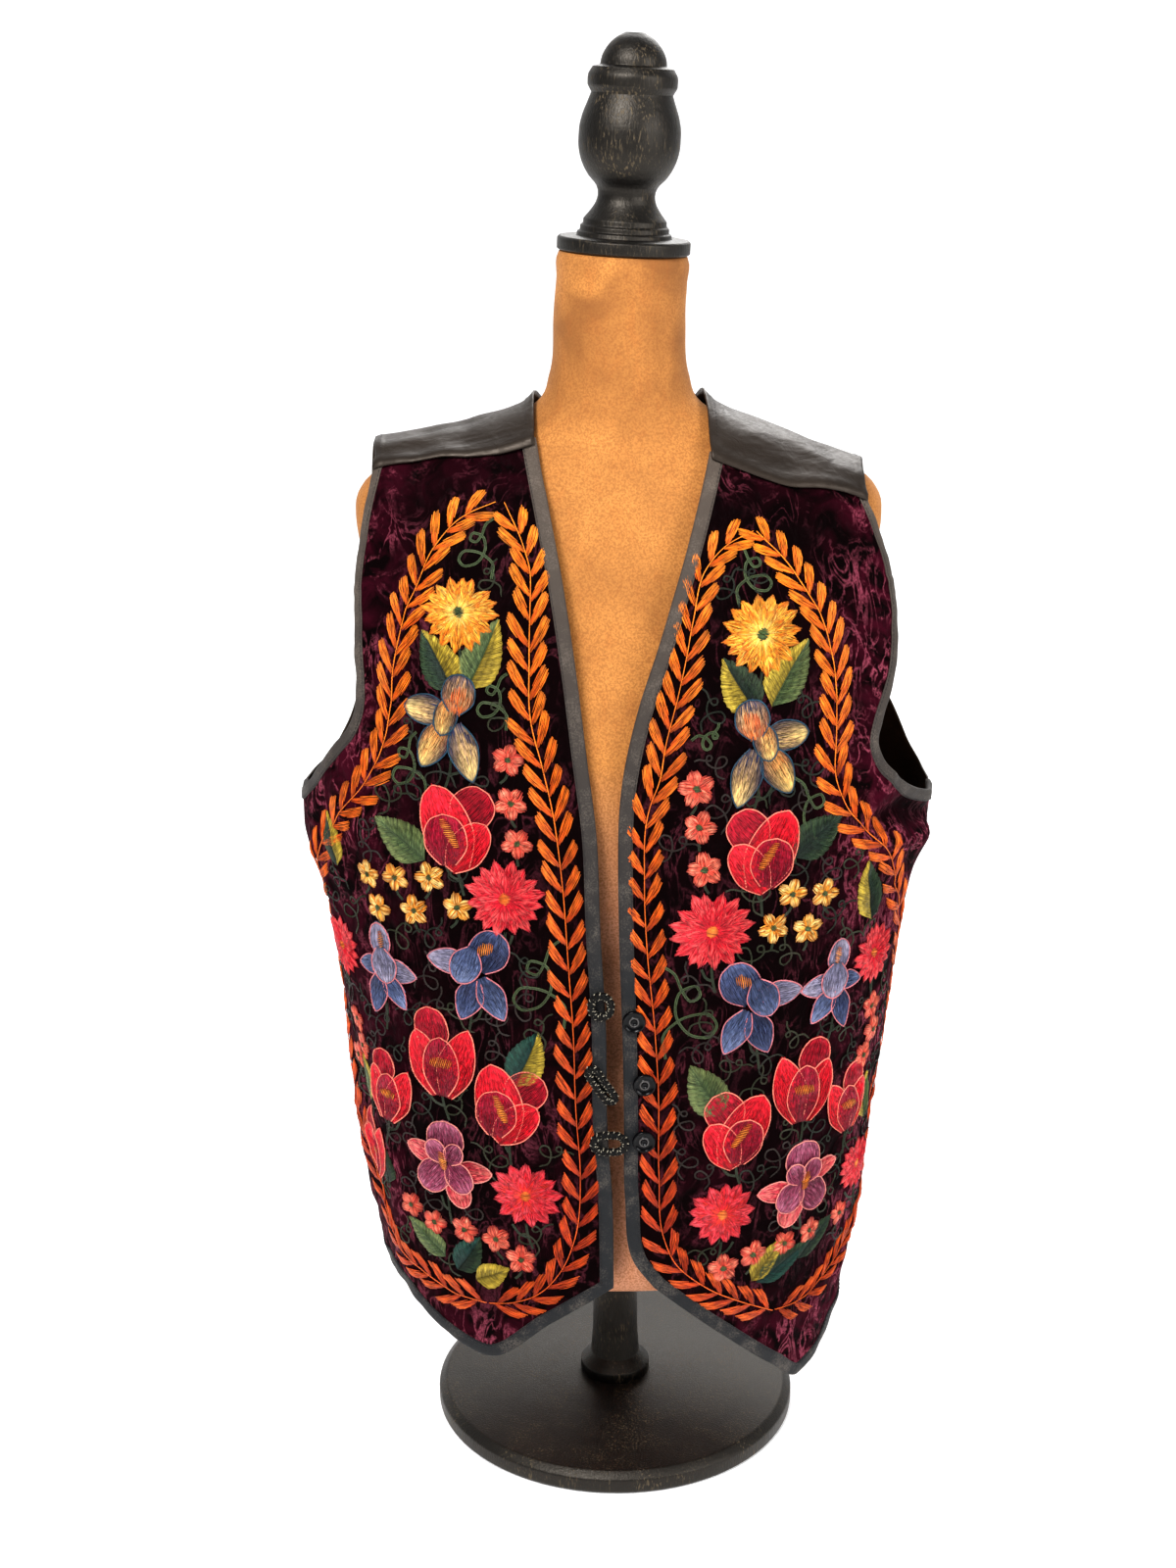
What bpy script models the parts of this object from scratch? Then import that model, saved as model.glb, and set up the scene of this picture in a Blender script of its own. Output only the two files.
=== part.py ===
"""Open folk vest worn by a limbless dress form on a turned stand.

All tables are in millimetres. X runs to the wearer's left, Y to the back,
Z up, with the origin under the middle of the stand's base.
"""
import math

import bpy
import numpy as np

MM = 0.001

# Outer face of the vest, one level section a row:
# height, half width, front depth, back depth, squareness
VEST_SECTIONS = (
    (40, 164, 126, 112, 2.20),
    (130, 176, 129, 112, 2.20),
    (190, 187, 130, 111, 2.20),
    (275, 196, 131, 109, 2.20),
    (355, 204, 131, 109, 2.20),
    (435, 214, 131, 111, 2.20),
    (500, 229, 129, 115, 2.25),
    (540, 226, 126, 117, 2.30),
    (600, 212, 119, 116, 2.40),
    (660, 200, 107, 108, 2.40),
    (700, 193, 93, 97, 2.40),
    (725, 189, 82, 86, 2.30),
    (745, 178, 70, 73, 2.20),
    (756, 152, 64, 65, 2.10),
    (770, 115, 58, 58, 2.00),
    (779, 91, 54, 53, 2.00),
    (790, 67, 51, 49, 2.00),
    (802, 56, 50, 47, 2.00),
)
# Dress form, same columns
FORM_SECTIONS = (
    (150, 148, 104, 98, 2.40),
    (154, 151, 107, 101, 2.40),
    (200, 156, 108, 102, 2.40),
    (255, 158, 106, 100, 2.35),
    (320, 141, 100, 91, 2.25),
    (380, 127, 98, 82, 2.20),
    (450, 137, 111, 87, 2.25),
    (515, 152, 116, 97, 2.35),
    (575, 157, 112, 102, 2.40),
    (620, 163, 101, 103, 2.45),
    (660, 174, 89, 98, 2.50),
    (690, 182, 80, 89, 2.50),
    (712, 185, 73, 81, 2.40),
    (728, 182, 67, 74, 2.30),
    (739, 172, 62, 67, 2.20),
    (749, 150, 57, 61, 2.10),
    (760, 120, 52, 54, 2.00),
    (771, 91, 48, 49, 2.00),
    (780, 70, 46.5, 46.5, 2.00),
    (790, 56, 45.8, 45.5, 2.00),
    (808, 48.5, 45.4, 45, 2.00),
    (846, 45.5, 45, 45, 2.00),
    (872, 44.8, 44.8, 44.8, 2.00),
    (888, 44.6, 44.6, 44.6, 2.00),
    (890, 43.6, 43.6, 43.6, 2.00),
)
# Above the turn the cloth is measured round an axis, over the shoulder.
TURN_HEIGHT = 660.0
TURN_RADIUS = 105.0
OVER_SHOULDER = 2 * TURN_HEIGHT + math.pi * TURN_RADIUS
# The right shoulder of the vest stands up off the form: distance out, rise
SHOULDER_LIFT = ((50, -2), (80, 0), (105, 2), (165, 14), (200, 16))

# How a taped quad is split: from the next edge spot back to this inner spot,
# or from this edge spot on to the next inner spot.
RISING, FALLING = True, False

CLOTH = 1.8
GAP = 0.3
TAPE = 0.8
TAPE_WIDTH = 10.0
SEAM_GAP = 0.5
SIDE_ANGLE = {-1: 91.0, 1: 89.0}
UNDERARM = 512.0

# Edges of the pieces as (across, up): across from the centre line, up from
# the floor, and on over the shoulder above the turn.
RIGHT_INNER = ((4, 168), (5, 236), (9, 300), (10, 372), (14, 444), (17, 516),
               (23, 564), (31, 628), (39, 680), (50, 742), (58, 783))
RIGHT_HEM = ((4, 168), (49, 137), (99, 101), (149, 117), (182, 135), (222, 143))
RIGHT_ARMHOLE = ((268, 514), (250, 525), (231, 541), (212, 560), (196, 577),
                 (190, 598), (193, 630), (195, 672), (187, 735), (174, 778))
RIGHT_SEAM = ((58, 783), (85, 780), (119, 781), (146, 777), (174, 778))
LEFT_INNER = ((27, 168), (13, 188), (6, 240), (5, 300), (4, 352), (1, 440),
              (0, 500), (2, 545), (12, 595), (28, 645), (42, 692), (54, 740),
              (62, 774))
LEFT_HEM = ((27, 168), (78, 124), (122, 86), (149, 66), (178, 76), (207, 104),
            (232, 130))
LEFT_ARMHOLE = ((268, 514), (240, 521), (214, 533), (195, 549), (187, 566),
                (192, 583), (205, 608), (213, 645), (208, 690), (194, 740),
                (176, 771))
LEFT_SEAM = ((62, 774), (79, 770), (98, 765), (116, 762), (139, 766), (176, 771))
BACK_CENTRE = ((0, 136), (0, 250), (0, 360), (0, 470), (0, 580), (0, 690),
               (0, 762))
BACK_NECK = ((0, 762), (26, 767), (45, 783), (56, 806), (60, 832))
BACK_HEM = ((0, 136), (80, 136), (160, 138), (222, 142))
RIGHT_BACK_ARMHOLE = ((256, 513), (232, 522), (212, 544), (202, 585), (199, 640),
                      (194, 705), (186, 770), (178, 820))
LEFT_BACK_ARMHOLE = ((262, 516), (240, 532), (220, 560), (206, 600), (200, 650),
                     (194, 710), (186, 770), (178, 820))
# Heights of the side seam's rows between the hem tape and the armhole tape
SIDE_UP = (188, 224, 260, 296, 332, 368, 404, 440, 473)
SIDE_ROWS = 12
ARM_ROWS = 12
COLUMNS = 11

# Turned shapes as (radius, height)
FINIAL_PROFILE = (
    (0, 0.3), (43.5, 0.3), (45.6, 1.6), (45.6, 8.8), (44.2, 10.2), (32.6, 10.6),
    (32.2, 13.4), (30.4, 14.4), (30.4, 17.4), (28.6, 18.8), (28.4, 22),
    (23.6, 28), (20.2, 34), (19.4, 39), (20.6, 43.5), (26.4, 50), (31.6, 59),
    (34.2, 69), (34.4, 79), (32.8, 89), (29.6, 98), (27.4, 104), (28.9, 105.4),
    (29.4, 110), (29.2, 118), (27.6, 121.4), (22.2, 122), (21.8, 126),
    (18.6, 133), (12.6, 139.4), (6.4, 143), (0, 144),
)
POST_PROFILE = ((0, 22.3), (27, 22.3), (27, 30), (19, 38), (17.5, 60),
                (17.5, 138), (21, 143), (21, 149.7), (0, 149.7))
BASE_PROFILE = ((0, 0), (138, 0), (140, 2), (140, 12), (134, 17), (60, 20),
                (30, 22), (0, 22))
BUTTON_PROFILE = ((0, 0), (6.4, 0), (7.6, 1.2), (7.8, 2.6), (6.6, 3.5),
                  (5.2, 2.7), (3.6, 2.5), (2.4, 2.9), (0, 2.4))
TILT = math.radians(3.0)
TILT_FROM = 842.0

# Closures: name, across, up, half length, bend radius, slant in degrees
LOOPS = (
    ("frog_loop_top", -12.5, 391, 1.2, 6.6, 90),
    ("frog_loop_middle", -12.0, 331, 11.0, 3.3, -56),
    ("frog_loop_bottom", -6.5, 286, 4.6, 6.4, 0),
)
CORD_RADIUS = 2.8
BUTTONS = (("button_top", 10.5, 379), ("button_middle", 18, 331),
           ("button_bottom", 18, 287))

FINISHES = {
    "velvet": ((0.055, 0.008, 0.022), 0.85, 0.0),
    "satin": ((0.028, 0.024, 0.022), 0.45, 0.0),
    "tape": ((0.075, 0.07, 0.07), 0.8, 0.0),
    "cord": ((0.03, 0.028, 0.024), 0.75, 0.0),
    "button": ((0.012, 0.012, 0.013), 0.22, 0.0),
    "suede": ((0.52, 0.25, 0.105), 0.9, 0.0),
    "turned_wood": ((0.035, 0.034, 0.034), 0.42, 0.0),
}


def section_values(table, heights):
    """Smooth the columns of a section table at the given heights."""
    rows = np.asarray(table, float)
    level = rows[:, 0]
    value = rows[:, 1:]
    step = np.diff(level)[:, None]
    slope = np.diff(value, axis=0) / step
    inner = (slope[:-1] * step[1:] + slope[1:] * step[:-1]) / (step[1:] + step[:-1])
    inner[slope[:-1] * slope[1:] <= 0] = 0
    tangent = np.vstack([slope[:1], inner, slope[-1:]])
    height = np.clip(np.asarray(heights, float), level[0], level[-1])
    i = np.clip(np.searchsorted(level, height, side="right") - 1, 0, len(level) - 2)
    s = ((height - level[i]) / step[i, 0])[..., None]
    start = (2 * s ** 3 - 3 * s ** 2 + 1) * value[i]
    start_turn = (s ** 3 - 2 * s ** 2 + s) * step[i] * tangent[i]
    end = (3 * s ** 2 - 2 * s ** 3) * value[i + 1]
    end_turn = (s ** 3 - s ** 2) * step[i] * tangent[i + 1]
    return start + start_turn + end + end_turn


class Drape:
    """Outer face of the vest, addressed by (across, up) from one side."""

    def __init__(self, side):
        """Sample the face on a regular grid; side is -1 for front, 1 for back."""
        self.seam_angle = math.radians(SIDE_ANGLE[side])
        self.across = np.arange(-340.0, 341.0, 4.0)
        self.up = np.arange(44.0, 892.0, 4.0)
        self.angle = np.radians(np.arange(-130, 131, 2.0))
        level = np.minimum(self.up, TURN_HEIGHT)
        values = section_values(VEST_SECTIONS, level)
        half, front, back, power = [c[:, None] for c in values.T]
        near, far = (front, back) if side < 0 else (back, front)
        sine = np.sin(self.angle)[None]
        cosine = np.cos(self.angle)[None]
        x = half * np.sign(sine) * np.abs(sine) ** (2 / power)
        depth = np.where(cosine > 0, near, -far)
        y = side * depth * np.abs(cosine) ** (2 / power)
        arc = np.cumsum(np.hypot(np.diff(x, axis=1), np.diff(y, axis=1)), axis=1)
        arc = np.hstack([np.zeros((len(arc), 1)), arc])
        self.arc = arc - arc[:, [len(self.angle) // 2]]
        rows = range(len(self.up))
        x = np.array([np.interp(self.across, self.arc[r], x[r]) for r in rows])
        y = np.array([np.interp(self.across, self.arc[r], y[r]) for r in rows])
        z = level[:, None] + np.zeros_like(x)
        over = self.up > TURN_HEIGHT
        turn = ((self.up[over] - TURN_HEIGHT) / TURN_RADIUS)[:, None]
        reach = self.reach(side, x[over], turn)
        y[over] = side * reach * np.cos(turn)
        z[over] = TURN_HEIGHT + reach * np.sin(turn)
        self.points = np.stack([x, y, z + shoulder_lift(x, z)], axis=-1)
        along = np.gradient(self.points, axis=1)
        climb = np.gradient(self.points, axis=0)
        normal = -side * np.cross(along, climb)
        size = np.linalg.norm(normal, axis=-1, keepdims=True)
        self.normals = normal / np.maximum(size, 1e-9)

    @staticmethod
    def reach(side, x, turn):
        """Distance from the turning axis to the face, by halving."""
        low = np.zeros(np.broadcast(x, turn).shape)
        high = np.full_like(low, 400.0)
        for _ in range(36):
            middle = (low + high) / 2
            y = side * middle * np.cos(turn)
            z = TURN_HEIGHT + middle * np.sin(turn)
            half, front, back, power = np.moveaxis(section_values(VEST_SECTIONS, z), -1, 0)
            depth = np.where(y < 0, front, back)
            outside = (np.abs(x) / half) ** power + (np.abs(y) / depth) ** power > 1
            outside |= z > VEST_SECTIONS[-1][0]
            high = np.where(outside, middle, high)
            low = np.where(outside, low, middle)
        return low

    def side_seam(self, up):
        """Across value of the side seam at the given height."""
        column = np.array([np.interp(self.seam_angle, self.angle, row)
                           for row in self.arc])
        return float(np.interp(up, self.up, column))

    def at(self, spots):
        """Return points and unit normals of an (n, 2) list of spots."""
        spots = np.asarray(spots, float)
        column = (spots[:, 0] - self.across[0]) / 4.0
        row = (spots[:, 1] - self.up[0]) / 4.0
        c = np.clip(column.astype(int), 0, len(self.across) - 2)
        r = np.clip(row.astype(int), 0, len(self.up) - 2)
        fc = (column - c)[:, None]
        fr = (row - r)[:, None]
        found = []
        for grid in (self.points, self.normals):
            low = grid[r, c] * (1 - fc) + grid[r, c + 1] * fc
            high = grid[r + 1, c] * (1 - fc) + grid[r + 1, c + 1] * fc
            found.append(low * (1 - fr) + high * fr)
        found[1] /= np.linalg.norm(found[1], axis=1, keepdims=True)
        return found


def shoulder_lift(x, z):
    """Rise of the cloth over the right shoulder."""
    out, rise = np.array(SHOULDER_LIFT, float).T
    fade = np.clip((z - 670) / 60, 0, 1)
    fade = fade * fade * (3 - 2 * fade)
    return np.where(x < -out[0], np.interp(-x, out, rise) * fade, 0.0)


def curve(knots, count=400):
    """Dense smooth polyline through the knots."""
    knots = np.asarray(knots, float)
    gap = np.linalg.norm(np.diff(knots, axis=0), axis=1)
    place = np.concatenate([[0], np.cumsum(gap)])
    table = np.column_stack([place, knots])
    dense = section_values(table, np.linspace(0, place[-1], count))
    return dense


def lengths(line):
    """Running length along a polyline."""
    step = np.linalg.norm(np.diff(line, axis=0), axis=1)
    return np.concatenate([[0], np.cumsum(step)])


def spaced(line, places):
    """Points of a polyline at the given running lengths."""
    run = lengths(line)
    return np.column_stack([np.interp(places, run, line[:, k]) for k in (0, 1)])


def inward(line, left):
    """Unit normals of a polyline, to its left or right."""
    tangent = np.gradient(line, axis=0)
    tangent /= np.linalg.norm(tangent, axis=1, keepdims=True)
    normal = np.column_stack([-tangent[:, 1], tangent[:, 0]])
    return normal if left else -normal


def mitre(first, second):
    """Offset of a corner between two edges with these inward normals."""
    return TAPE_WIDTH * (first + second) / (1 + float(first @ second))


class Panel:
    """Grid of (across, up) spots for one cut piece, hem row first."""

    def __init__(self, drape, inner, hem, armhole, seam, inner_rows):
        """Fill the four edges and the interior of the grid."""
        inner = np.asarray(inner)
        side_top = drape.side_seam(UNDERARM)
        hem_end = (drape.side_seam(hem[-1][1] + 3), hem[-1][1] + 3)
        hem = curve(list(hem) + [hem_end])
        arm = curve([(side_top, UNDERARM)] + list(armhole))
        seam = curve(seam)
        self.rows = SIDE_ROWS + ARM_ROWS
        grid = np.zeros((self.rows + 1, COLUMNS + 1, 2))
        low = [hem_end[1], hem_end[1] + TAPE_WIDTH]
        side_up = low + list(SIDE_UP) + [UNDERARM - TAPE_WIDTH, UNDERARM]
        for row, up in enumerate(side_up):
            grid[row, -1] = (drape.side_seam(up) - SEAM_GAP / 2, up)
        arm_at = np.linspace(TAPE_WIDTH, lengths(arm)[-1], ARM_ROWS)
        grid[SIDE_ROWS + 1:, -1] = spaced(arm, arm_at)
        grid[:, 0] = inner[inner_rows]
        run = lengths(hem)[-1]
        hem_at = np.linspace(TAPE_WIDTH, run - 22, COLUMNS - 1)
        grid[0, 1:-1] = spaced(hem, hem_at)
        grid[0, 0] = hem[0]
        run = lengths(seam)[-1]
        top_at = np.linspace(TAPE_WIDTH, run - TAPE_WIDTH, COLUMNS - 1)
        grid[-1, 1:-1] = spaced(seam, top_at)
        self.grid = grid
        self.fill()

    def fill(self):
        """Set the taped border and blend the interior from it."""
        grid = self.grid
        edge = grid[:, 0] + TAPE_WIDTH * inward(grid[:, 0], False)
        hem = grid[0] + TAPE_WIDTH * inward(grid[0], True)
        arm = grid[:, -1] + TAPE_WIDTH * inward(grid[:, -1], True)
        arm[:SIDE_ROWS - 1] = grid[:SIDE_ROWS - 1, -1] - np.array([20, 5])
        arm[SIDE_ROWS - 1] = grid[SIDE_ROWS - 1, -1] - np.array([9, 3])
        arm[SIDE_ROWS] = grid[SIDE_ROWS, -1] - np.array([8.5, 11])
        corner = grid[0, 0] + mitre(inward(grid[:2, 0], False)[0], inward(grid[0, :2], True)[0])
        left = edge[1:].copy()
        left[0] = corner
        left[-1] = grid[-1, 1]
        right = arm[1:].copy()
        right[0] = (grid[0, -2] + TAPE_WIDTH * inward(grid[0], True)[-2])
        right[-1] = grid[-1, -2]
        low = hem[1:-1].copy()
        low[0] = corner
        low[-1] = right[0]
        top = grid[-1, 1:-1]
        s = np.linspace(0, 1, COLUMNS - 1)[None, :, None]
        t = np.linspace(0, 1, self.rows)[:, None, None]
        blend = (1 - s) * left[:, None] + s * right[:, None]
        blend = blend + (1 - t) * low[None] + t * top[None]
        blend = blend - (1 - t) * ((1 - s) * left[0] + s * right[0])
        blend = blend - t * ((1 - s) * left[-1] + s * right[-1])
        grid[1:, 1:-1] = blend
        grid[1, 0] = foot(grid[0, 0], grid[2, 0], corner)
        grid[0, 1] = foot(grid[0, 0], grid[0, 2], corner)

    def taped_front(self):
        """Edge and inner spots down the front edge and along the hem."""
        rows = range(self.rows, 1, -1)
        pairs = [(self.grid[r, 0], self.grid[r, 1], RISING) for r in rows]
        pairs.append((self.grid[0, 0], self.grid[1, 1], FALLING))
        pairs += self.taped_hem(2)
        return pairs

    def taped_hem(self, first):
        """Edge and inner spots along the hem from a column on."""
        columns = range(first, COLUMNS + 1)
        return [(self.grid[0, c], self.grid[1, c], FALLING) for c in columns]

    def taped_armhole(self):
        """Edge and inner spots round the armhole from the side seam."""
        pairs = [(self.grid[SIDE_ROWS, -1], self.grid[SIDE_ROWS - 1, -1], RISING)]
        rows = range(SIDE_ROWS + 1, self.rows + 1)
        return pairs + [(self.grid[r, -1], self.grid[r, -2], RISING) for r in rows]


def foot(start, end, spot):
    """Nearest place to a spot on the line from start to end."""
    way = end - start
    return start + way * float((spot - start) @ way) / float(way @ way)


def rows_along(line, share):
    """Even row places along a dense edge, as indices, at given shares."""
    run = lengths(line)
    return np.searchsorted(run, np.asarray(share) * run[-1] - 1e-9)


def make_material(name):
    """Return the shared material of that name."""
    if name in bpy.data.materials:
        return bpy.data.materials[name]
    color, rough, metal = FINISHES[name]
    material = bpy.data.materials.new(name)
    material.use_nodes = True
    shader = material.node_tree.nodes["Principled BSDF"]
    shader.inputs["Base Color"].default_value = (*color, 1.0)
    shader.inputs["Roughness"].default_value = rough
    shader.inputs["Metallic"].default_value = metal
    material.diffuse_color = (*color, 1.0)
    return material


def add_solid(name, points, faces, finish):
    """Make one named mesh object from millimetre points."""
    mesh = bpy.data.meshes.new(name)
    mesh.from_pydata([tuple(p) for p in np.asarray(points) * MM], [], faces)
    mesh.validate()
    mesh.materials.append(make_material(finish))
    solid = bpy.data.objects.new(name, mesh)
    bpy.context.scene.collection.objects.link(solid)
    return solid


def add_cloth(name, drape, spots, faces, finish):
    """Thicken a sheet of spots inwards into a closed cloth panel."""
    points, normals = drape.at(spots)
    count = len(points)
    used = {}
    for face in faces:
        for a, b in zip(face, face[1:] + face[:1]):
            used[(a, b)] = True
    rim = [(a, b) for a, b in used if (b, a) not in used]
    inner = [tuple(i + count for i in reversed(face)) for face in faces]
    walls = [(b, a, a + count, b + count) for a, b in rim]
    both = np.vstack([points, points - normals * CLOTH])
    return add_solid(name, both, list(faces) + inner + walls, finish)


def grid_faces(panel, outward):
    """Triangles of a whole grid, split from low inner to high outer corners."""
    width = COLUMNS + 1
    faces = []
    for row in range(panel.rows):
        for column in range(COLUMNS):
            a = row * width + column
            far = a + width + 1
            for face in ((a, a + 1, far), (a, far, a + width)):
                faces.append(face if outward else face[::-1])
    return faces


def mirrored(pairs):
    """Swap the across sign of edge and inner spots."""
    flip = np.array([-1.0, 1.0])
    return [(edge * flip, spot * flip, split) for edge, spot, split in pairs]


def add_tape(name, drape, pairs):
    """Fold a strip of binding round the edge of a cloth panel."""
    edge, edge_out = drape.at([pair[0] for pair in pairs])
    spot, spot_out = drape.at([pair[1] for pair in pairs])
    inset = spot - edge
    inset /= np.linalg.norm(inset, axis=1, keepdims=True)
    top = GAP + TAPE
    low = -CLOTH - GAP
    under = low - TAPE
    rings = [
        spot + spot_out * GAP,
        spot + spot_out * top,
        edge + edge_out * top,
        edge - inset * top + edge_out * GAP,
        edge - inset * top + edge_out * low,
        edge + edge_out * under,
        spot + spot_out * under,
        spot + spot_out * low,
        edge - inset * GAP + edge_out * low,
        edge - inset * GAP + edge_out * GAP,
    ]
    loops = np.stack(rings, axis=1)
    outward = {9, 5}
    splits = [[pair[2] == (k in outward) for k in range(10)] for pair in pairs]
    return add_tube(name, loops, "tape", False, splits)


def add_tube(name, loops, finish, closed, splits=None):
    """Skin a row of equal loops; ends are capped unless the row is closed."""
    count, sides = loops.shape[:2]
    faces = []
    spans = count if closed else count - 1
    for i in range(spans):
        j = (i + 1) % count
        for k in range(sides):
            n = (k + 1) % sides
            a, b, c, d = (i * sides + k, i * sides + n, j * sides + n, j * sides + k)
            if splits is None:
                faces.append((a, b, c, d))
            elif splits[i][k]:
                faces += [(a, b, d), (b, c, d)]
            else:
                faces += [(a, b, c), (a, c, d)]
    if not closed:
        faces.append(tuple(range(sides))[::-1])
        faces.append(tuple((count - 1) * sides + k for k in range(sides)))
    solid = add_solid(name, loops.reshape(-1, 3), faces, finish)
    face_out(solid)
    return solid


def face_out(solid):
    """Flip a solid whose faces point inwards."""
    mesh = solid.data
    mesh.calc_loop_triangles()
    volume = 0.0
    for triangle in mesh.loop_triangles:
        a, b, c = (mesh.vertices[i].co for i in triangle.vertices)
        volume += a.dot(b.cross(c))
    if volume < 0:
        mesh.flip_normals()


def add_turned(name, profile, finish, sides, place=(0, 0, 0), tilt=0.0):
    """Turn a profile about an upright axis; its ends lie on the axis."""
    angle = np.arange(sides) * 2 * math.pi / sides
    body = np.array(profile[1:-1], float)
    ring = np.stack([np.cos(angle), np.sin(angle), np.ones(sides)], axis=1)
    points = [np.column_stack([ring[:, 0] * r, ring[:, 1] * r, ring[:, 2] * h])
              for r, h in body]
    points.append(np.array([[0, 0, profile[0][1]], [0, 0, profile[-1][1]]], float))
    faces = []
    for row in range(len(body) - 1):
        for k in range(sides):
            n = (k + 1) % sides
            faces.append((row * sides + k, row * sides + n,
                          (row + 1) * sides + n, (row + 1) * sides + k))
    last = (len(body) - 1) * sides
    low = len(body) * sides
    for k in range(sides):
        n = (k + 1) % sides
        faces.append((n, k, low))
        faces.append((last + k, last + n, low + 1))
    solid = add_solid(name, np.vstack(points), faces, finish)
    solid.location = tuple(c * MM for c in place)
    solid.rotation_euler = (0, tilt, 0)
    face_out(solid)
    return solid


def add_form(sides=36):
    """Loft the dress form with its neck leaning a little to its left."""
    angle = np.arange(sides) * 2 * math.pi / sides
    rings = []
    for height, half, front, back, power in FORM_SECTIONS:
        sine, cosine = np.sin(angle), np.cos(angle)
        x = half * np.sign(sine) * np.abs(sine) ** (2 / power)
        y = np.where(cosine > 0, -front, back) * np.abs(cosine) ** (2 / power)
        rise = max(height - TILT_FROM, 0.0)
        lean = TILT * min(rise / 25.0, 1.0)
        z = height - rise + rise * math.cos(lean) - x * math.sin(lean)
        x = x * math.cos(lean) + rise * math.sin(lean)
        rings.append(np.column_stack([x, y, z]))
    add_tube("dress_form", np.stack(rings), "suede", False)


def add_stand():
    """Turn the finial, the post and the base."""
    add_turned("stand_base", BASE_PROFILE, "turned_wood", 40)
    add_turned("stand_post", POST_PROFILE, "turned_wood", 16)
    rise = 890 - TILT_FROM
    place = (rise * math.sin(TILT), 0, TILT_FROM + rise * math.cos(TILT))
    add_turned("finial", FINIAL_PROFILE, "turned_wood", 24, place, TILT)


def add_front(name, drape, tables, sign):
    """Cut one front panel and bind its free edges."""
    inner = curve(tables[0])
    share = np.linspace(0, 1, SIDE_ROWS + ARM_ROWS + 1)
    rows = rows_along(inner, share)
    panel = Panel(drape, inner, tables[1], tables[2], tables[3], rows)
    spots = panel.grid.reshape(-1, 2) * np.array([sign, 1.0])
    add_cloth("front_" + name, drape, spots, grid_faces(panel, sign > 0), "velvet")
    edge = panel.taped_front()
    arm = panel.taped_armhole()
    if sign < 0:
        edge = mirrored(edge)
        arm = mirrored(arm)
    add_tape("binding_edge_" + name, drape, edge)
    add_tape("binding_armhole_" + name, drape, arm)


def back_half(drape, seam, armhole):
    """Lay out half of the back, its shoulder end meeting the front seam."""
    turned = [(u, OVER_SHOULDER - v - SEAM_GAP) for u, v in seam]
    centre = curve(BACK_CENTRE)
    neck = curve(list(BACK_NECK) + [turned[0]])
    inner = np.vstack([centre, neck[1:]])
    straight = lengths(centre)[-1]
    total = lengths(inner)[-1]
    low_share = np.linspace(0, straight, 18) / total
    high_share = np.linspace(straight, total, SIDE_ROWS + ARM_ROWS - 16)[1:] / total
    share = np.concatenate([low_share, high_share])
    armhole = list(armhole) + [turned[-1]]
    return Panel(drape, inner, BACK_HEM, armhole, turned, rows_along(inner, share))


def add_back(drape):
    """Cut the back in one piece from two halves that share the centre line."""
    halves = []
    for seam, armhole, sign in ((RIGHT_SEAM, RIGHT_BACK_ARMHOLE, -1),
                                (LEFT_SEAM, LEFT_BACK_ARMHOLE, 1)):
        halves.append((back_half(drape, seam, armhole), sign))
    spots = []
    index = {}
    faces = []
    for panel, sign in halves:
        signed = panel.grid.reshape(-1, 2) * np.array([sign, 1.0])
        names = []
        for spot in signed:
            key = (round(float(spot[0]), 3) + 0.0, round(float(spot[1]), 3))
            if key not in index:
                index[key] = len(spots)
                spots.append(spot)
            names.append(index[key])
        for quad in grid_faces(panel, sign < 0):
            faces.append(tuple(names[i] for i in quad))
    add_cloth("back", drape, np.array(spots), faces, "satin")
    right, left = halves[0][0], halves[1][0]
    far = [(edge, spot, RISING) for edge, spot, _ in mirrored(right.taped_hem(1))[::-1]]
    hem = far + [(left.grid[0, 0], left.grid[1, 0], FALLING)] + left.taped_hem(1)
    add_tape("binding_hem_back", drape, hem)


def add_closures(drape):
    """Lay the cord loops and the buttons on the front bindings."""
    lie = GAP + TAPE + GAP + CORD_RADIUS
    for name, across, up, straight, bend, slant in LOOPS:
        turn = np.linspace(0, 2 * math.pi, 20, endpoint=False) + 0.1
        flat = np.column_stack([np.cos(turn) * bend + np.sign(np.cos(turn)) * straight,
                                np.sin(turn) * bend])
        s, c = math.sin(math.radians(slant)), math.cos(math.radians(slant))
        path = flat @ np.array([[c, s], [-s, c]]) + np.array([across, up])
        points, normals = drape.at(path)
        points = points + normals * lie
        tangent = np.roll(points, -1, axis=0) - np.roll(points, 1, axis=0)
        tangent /= np.linalg.norm(tangent, axis=1, keepdims=True)
        cross = np.cross(tangent, normals)
        loops = []
        for k in range(6):
            a = k * math.pi / 3
            loops.append(points + CORD_RADIUS * (math.cos(a) * cross + math.sin(a) * normals))
        add_tube(name, np.stack(loops, axis=1), "cord", True)
    for name, across, up in BUTTONS:
        point, normal = drape.at([(across, up)])
        place = point[0] + normal[0] * (GAP + TAPE + GAP)
        button = add_turned(name, BUTTON_PROFILE, "button", 16, place)
        yaw = math.atan2(normal[0][0], -normal[0][1])
        button.rotation_euler = (math.pi / 2, 0, yaw)


def main():
    """Build every solid of the part."""
    for leftover in list(bpy.data.objects):
        bpy.data.objects.remove(leftover)
    front = Drape(-1)
    back = Drape(1)
    right = (RIGHT_INNER, RIGHT_HEM, RIGHT_ARMHOLE, RIGHT_SEAM)
    left = (LEFT_INNER, LEFT_HEM, LEFT_ARMHOLE, LEFT_SEAM)
    add_front("right", front, right, -1)
    add_front("left", front, left, 1)
    add_back(back)
    add_closures(front)
    add_form()
    add_stand()


main()
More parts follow.
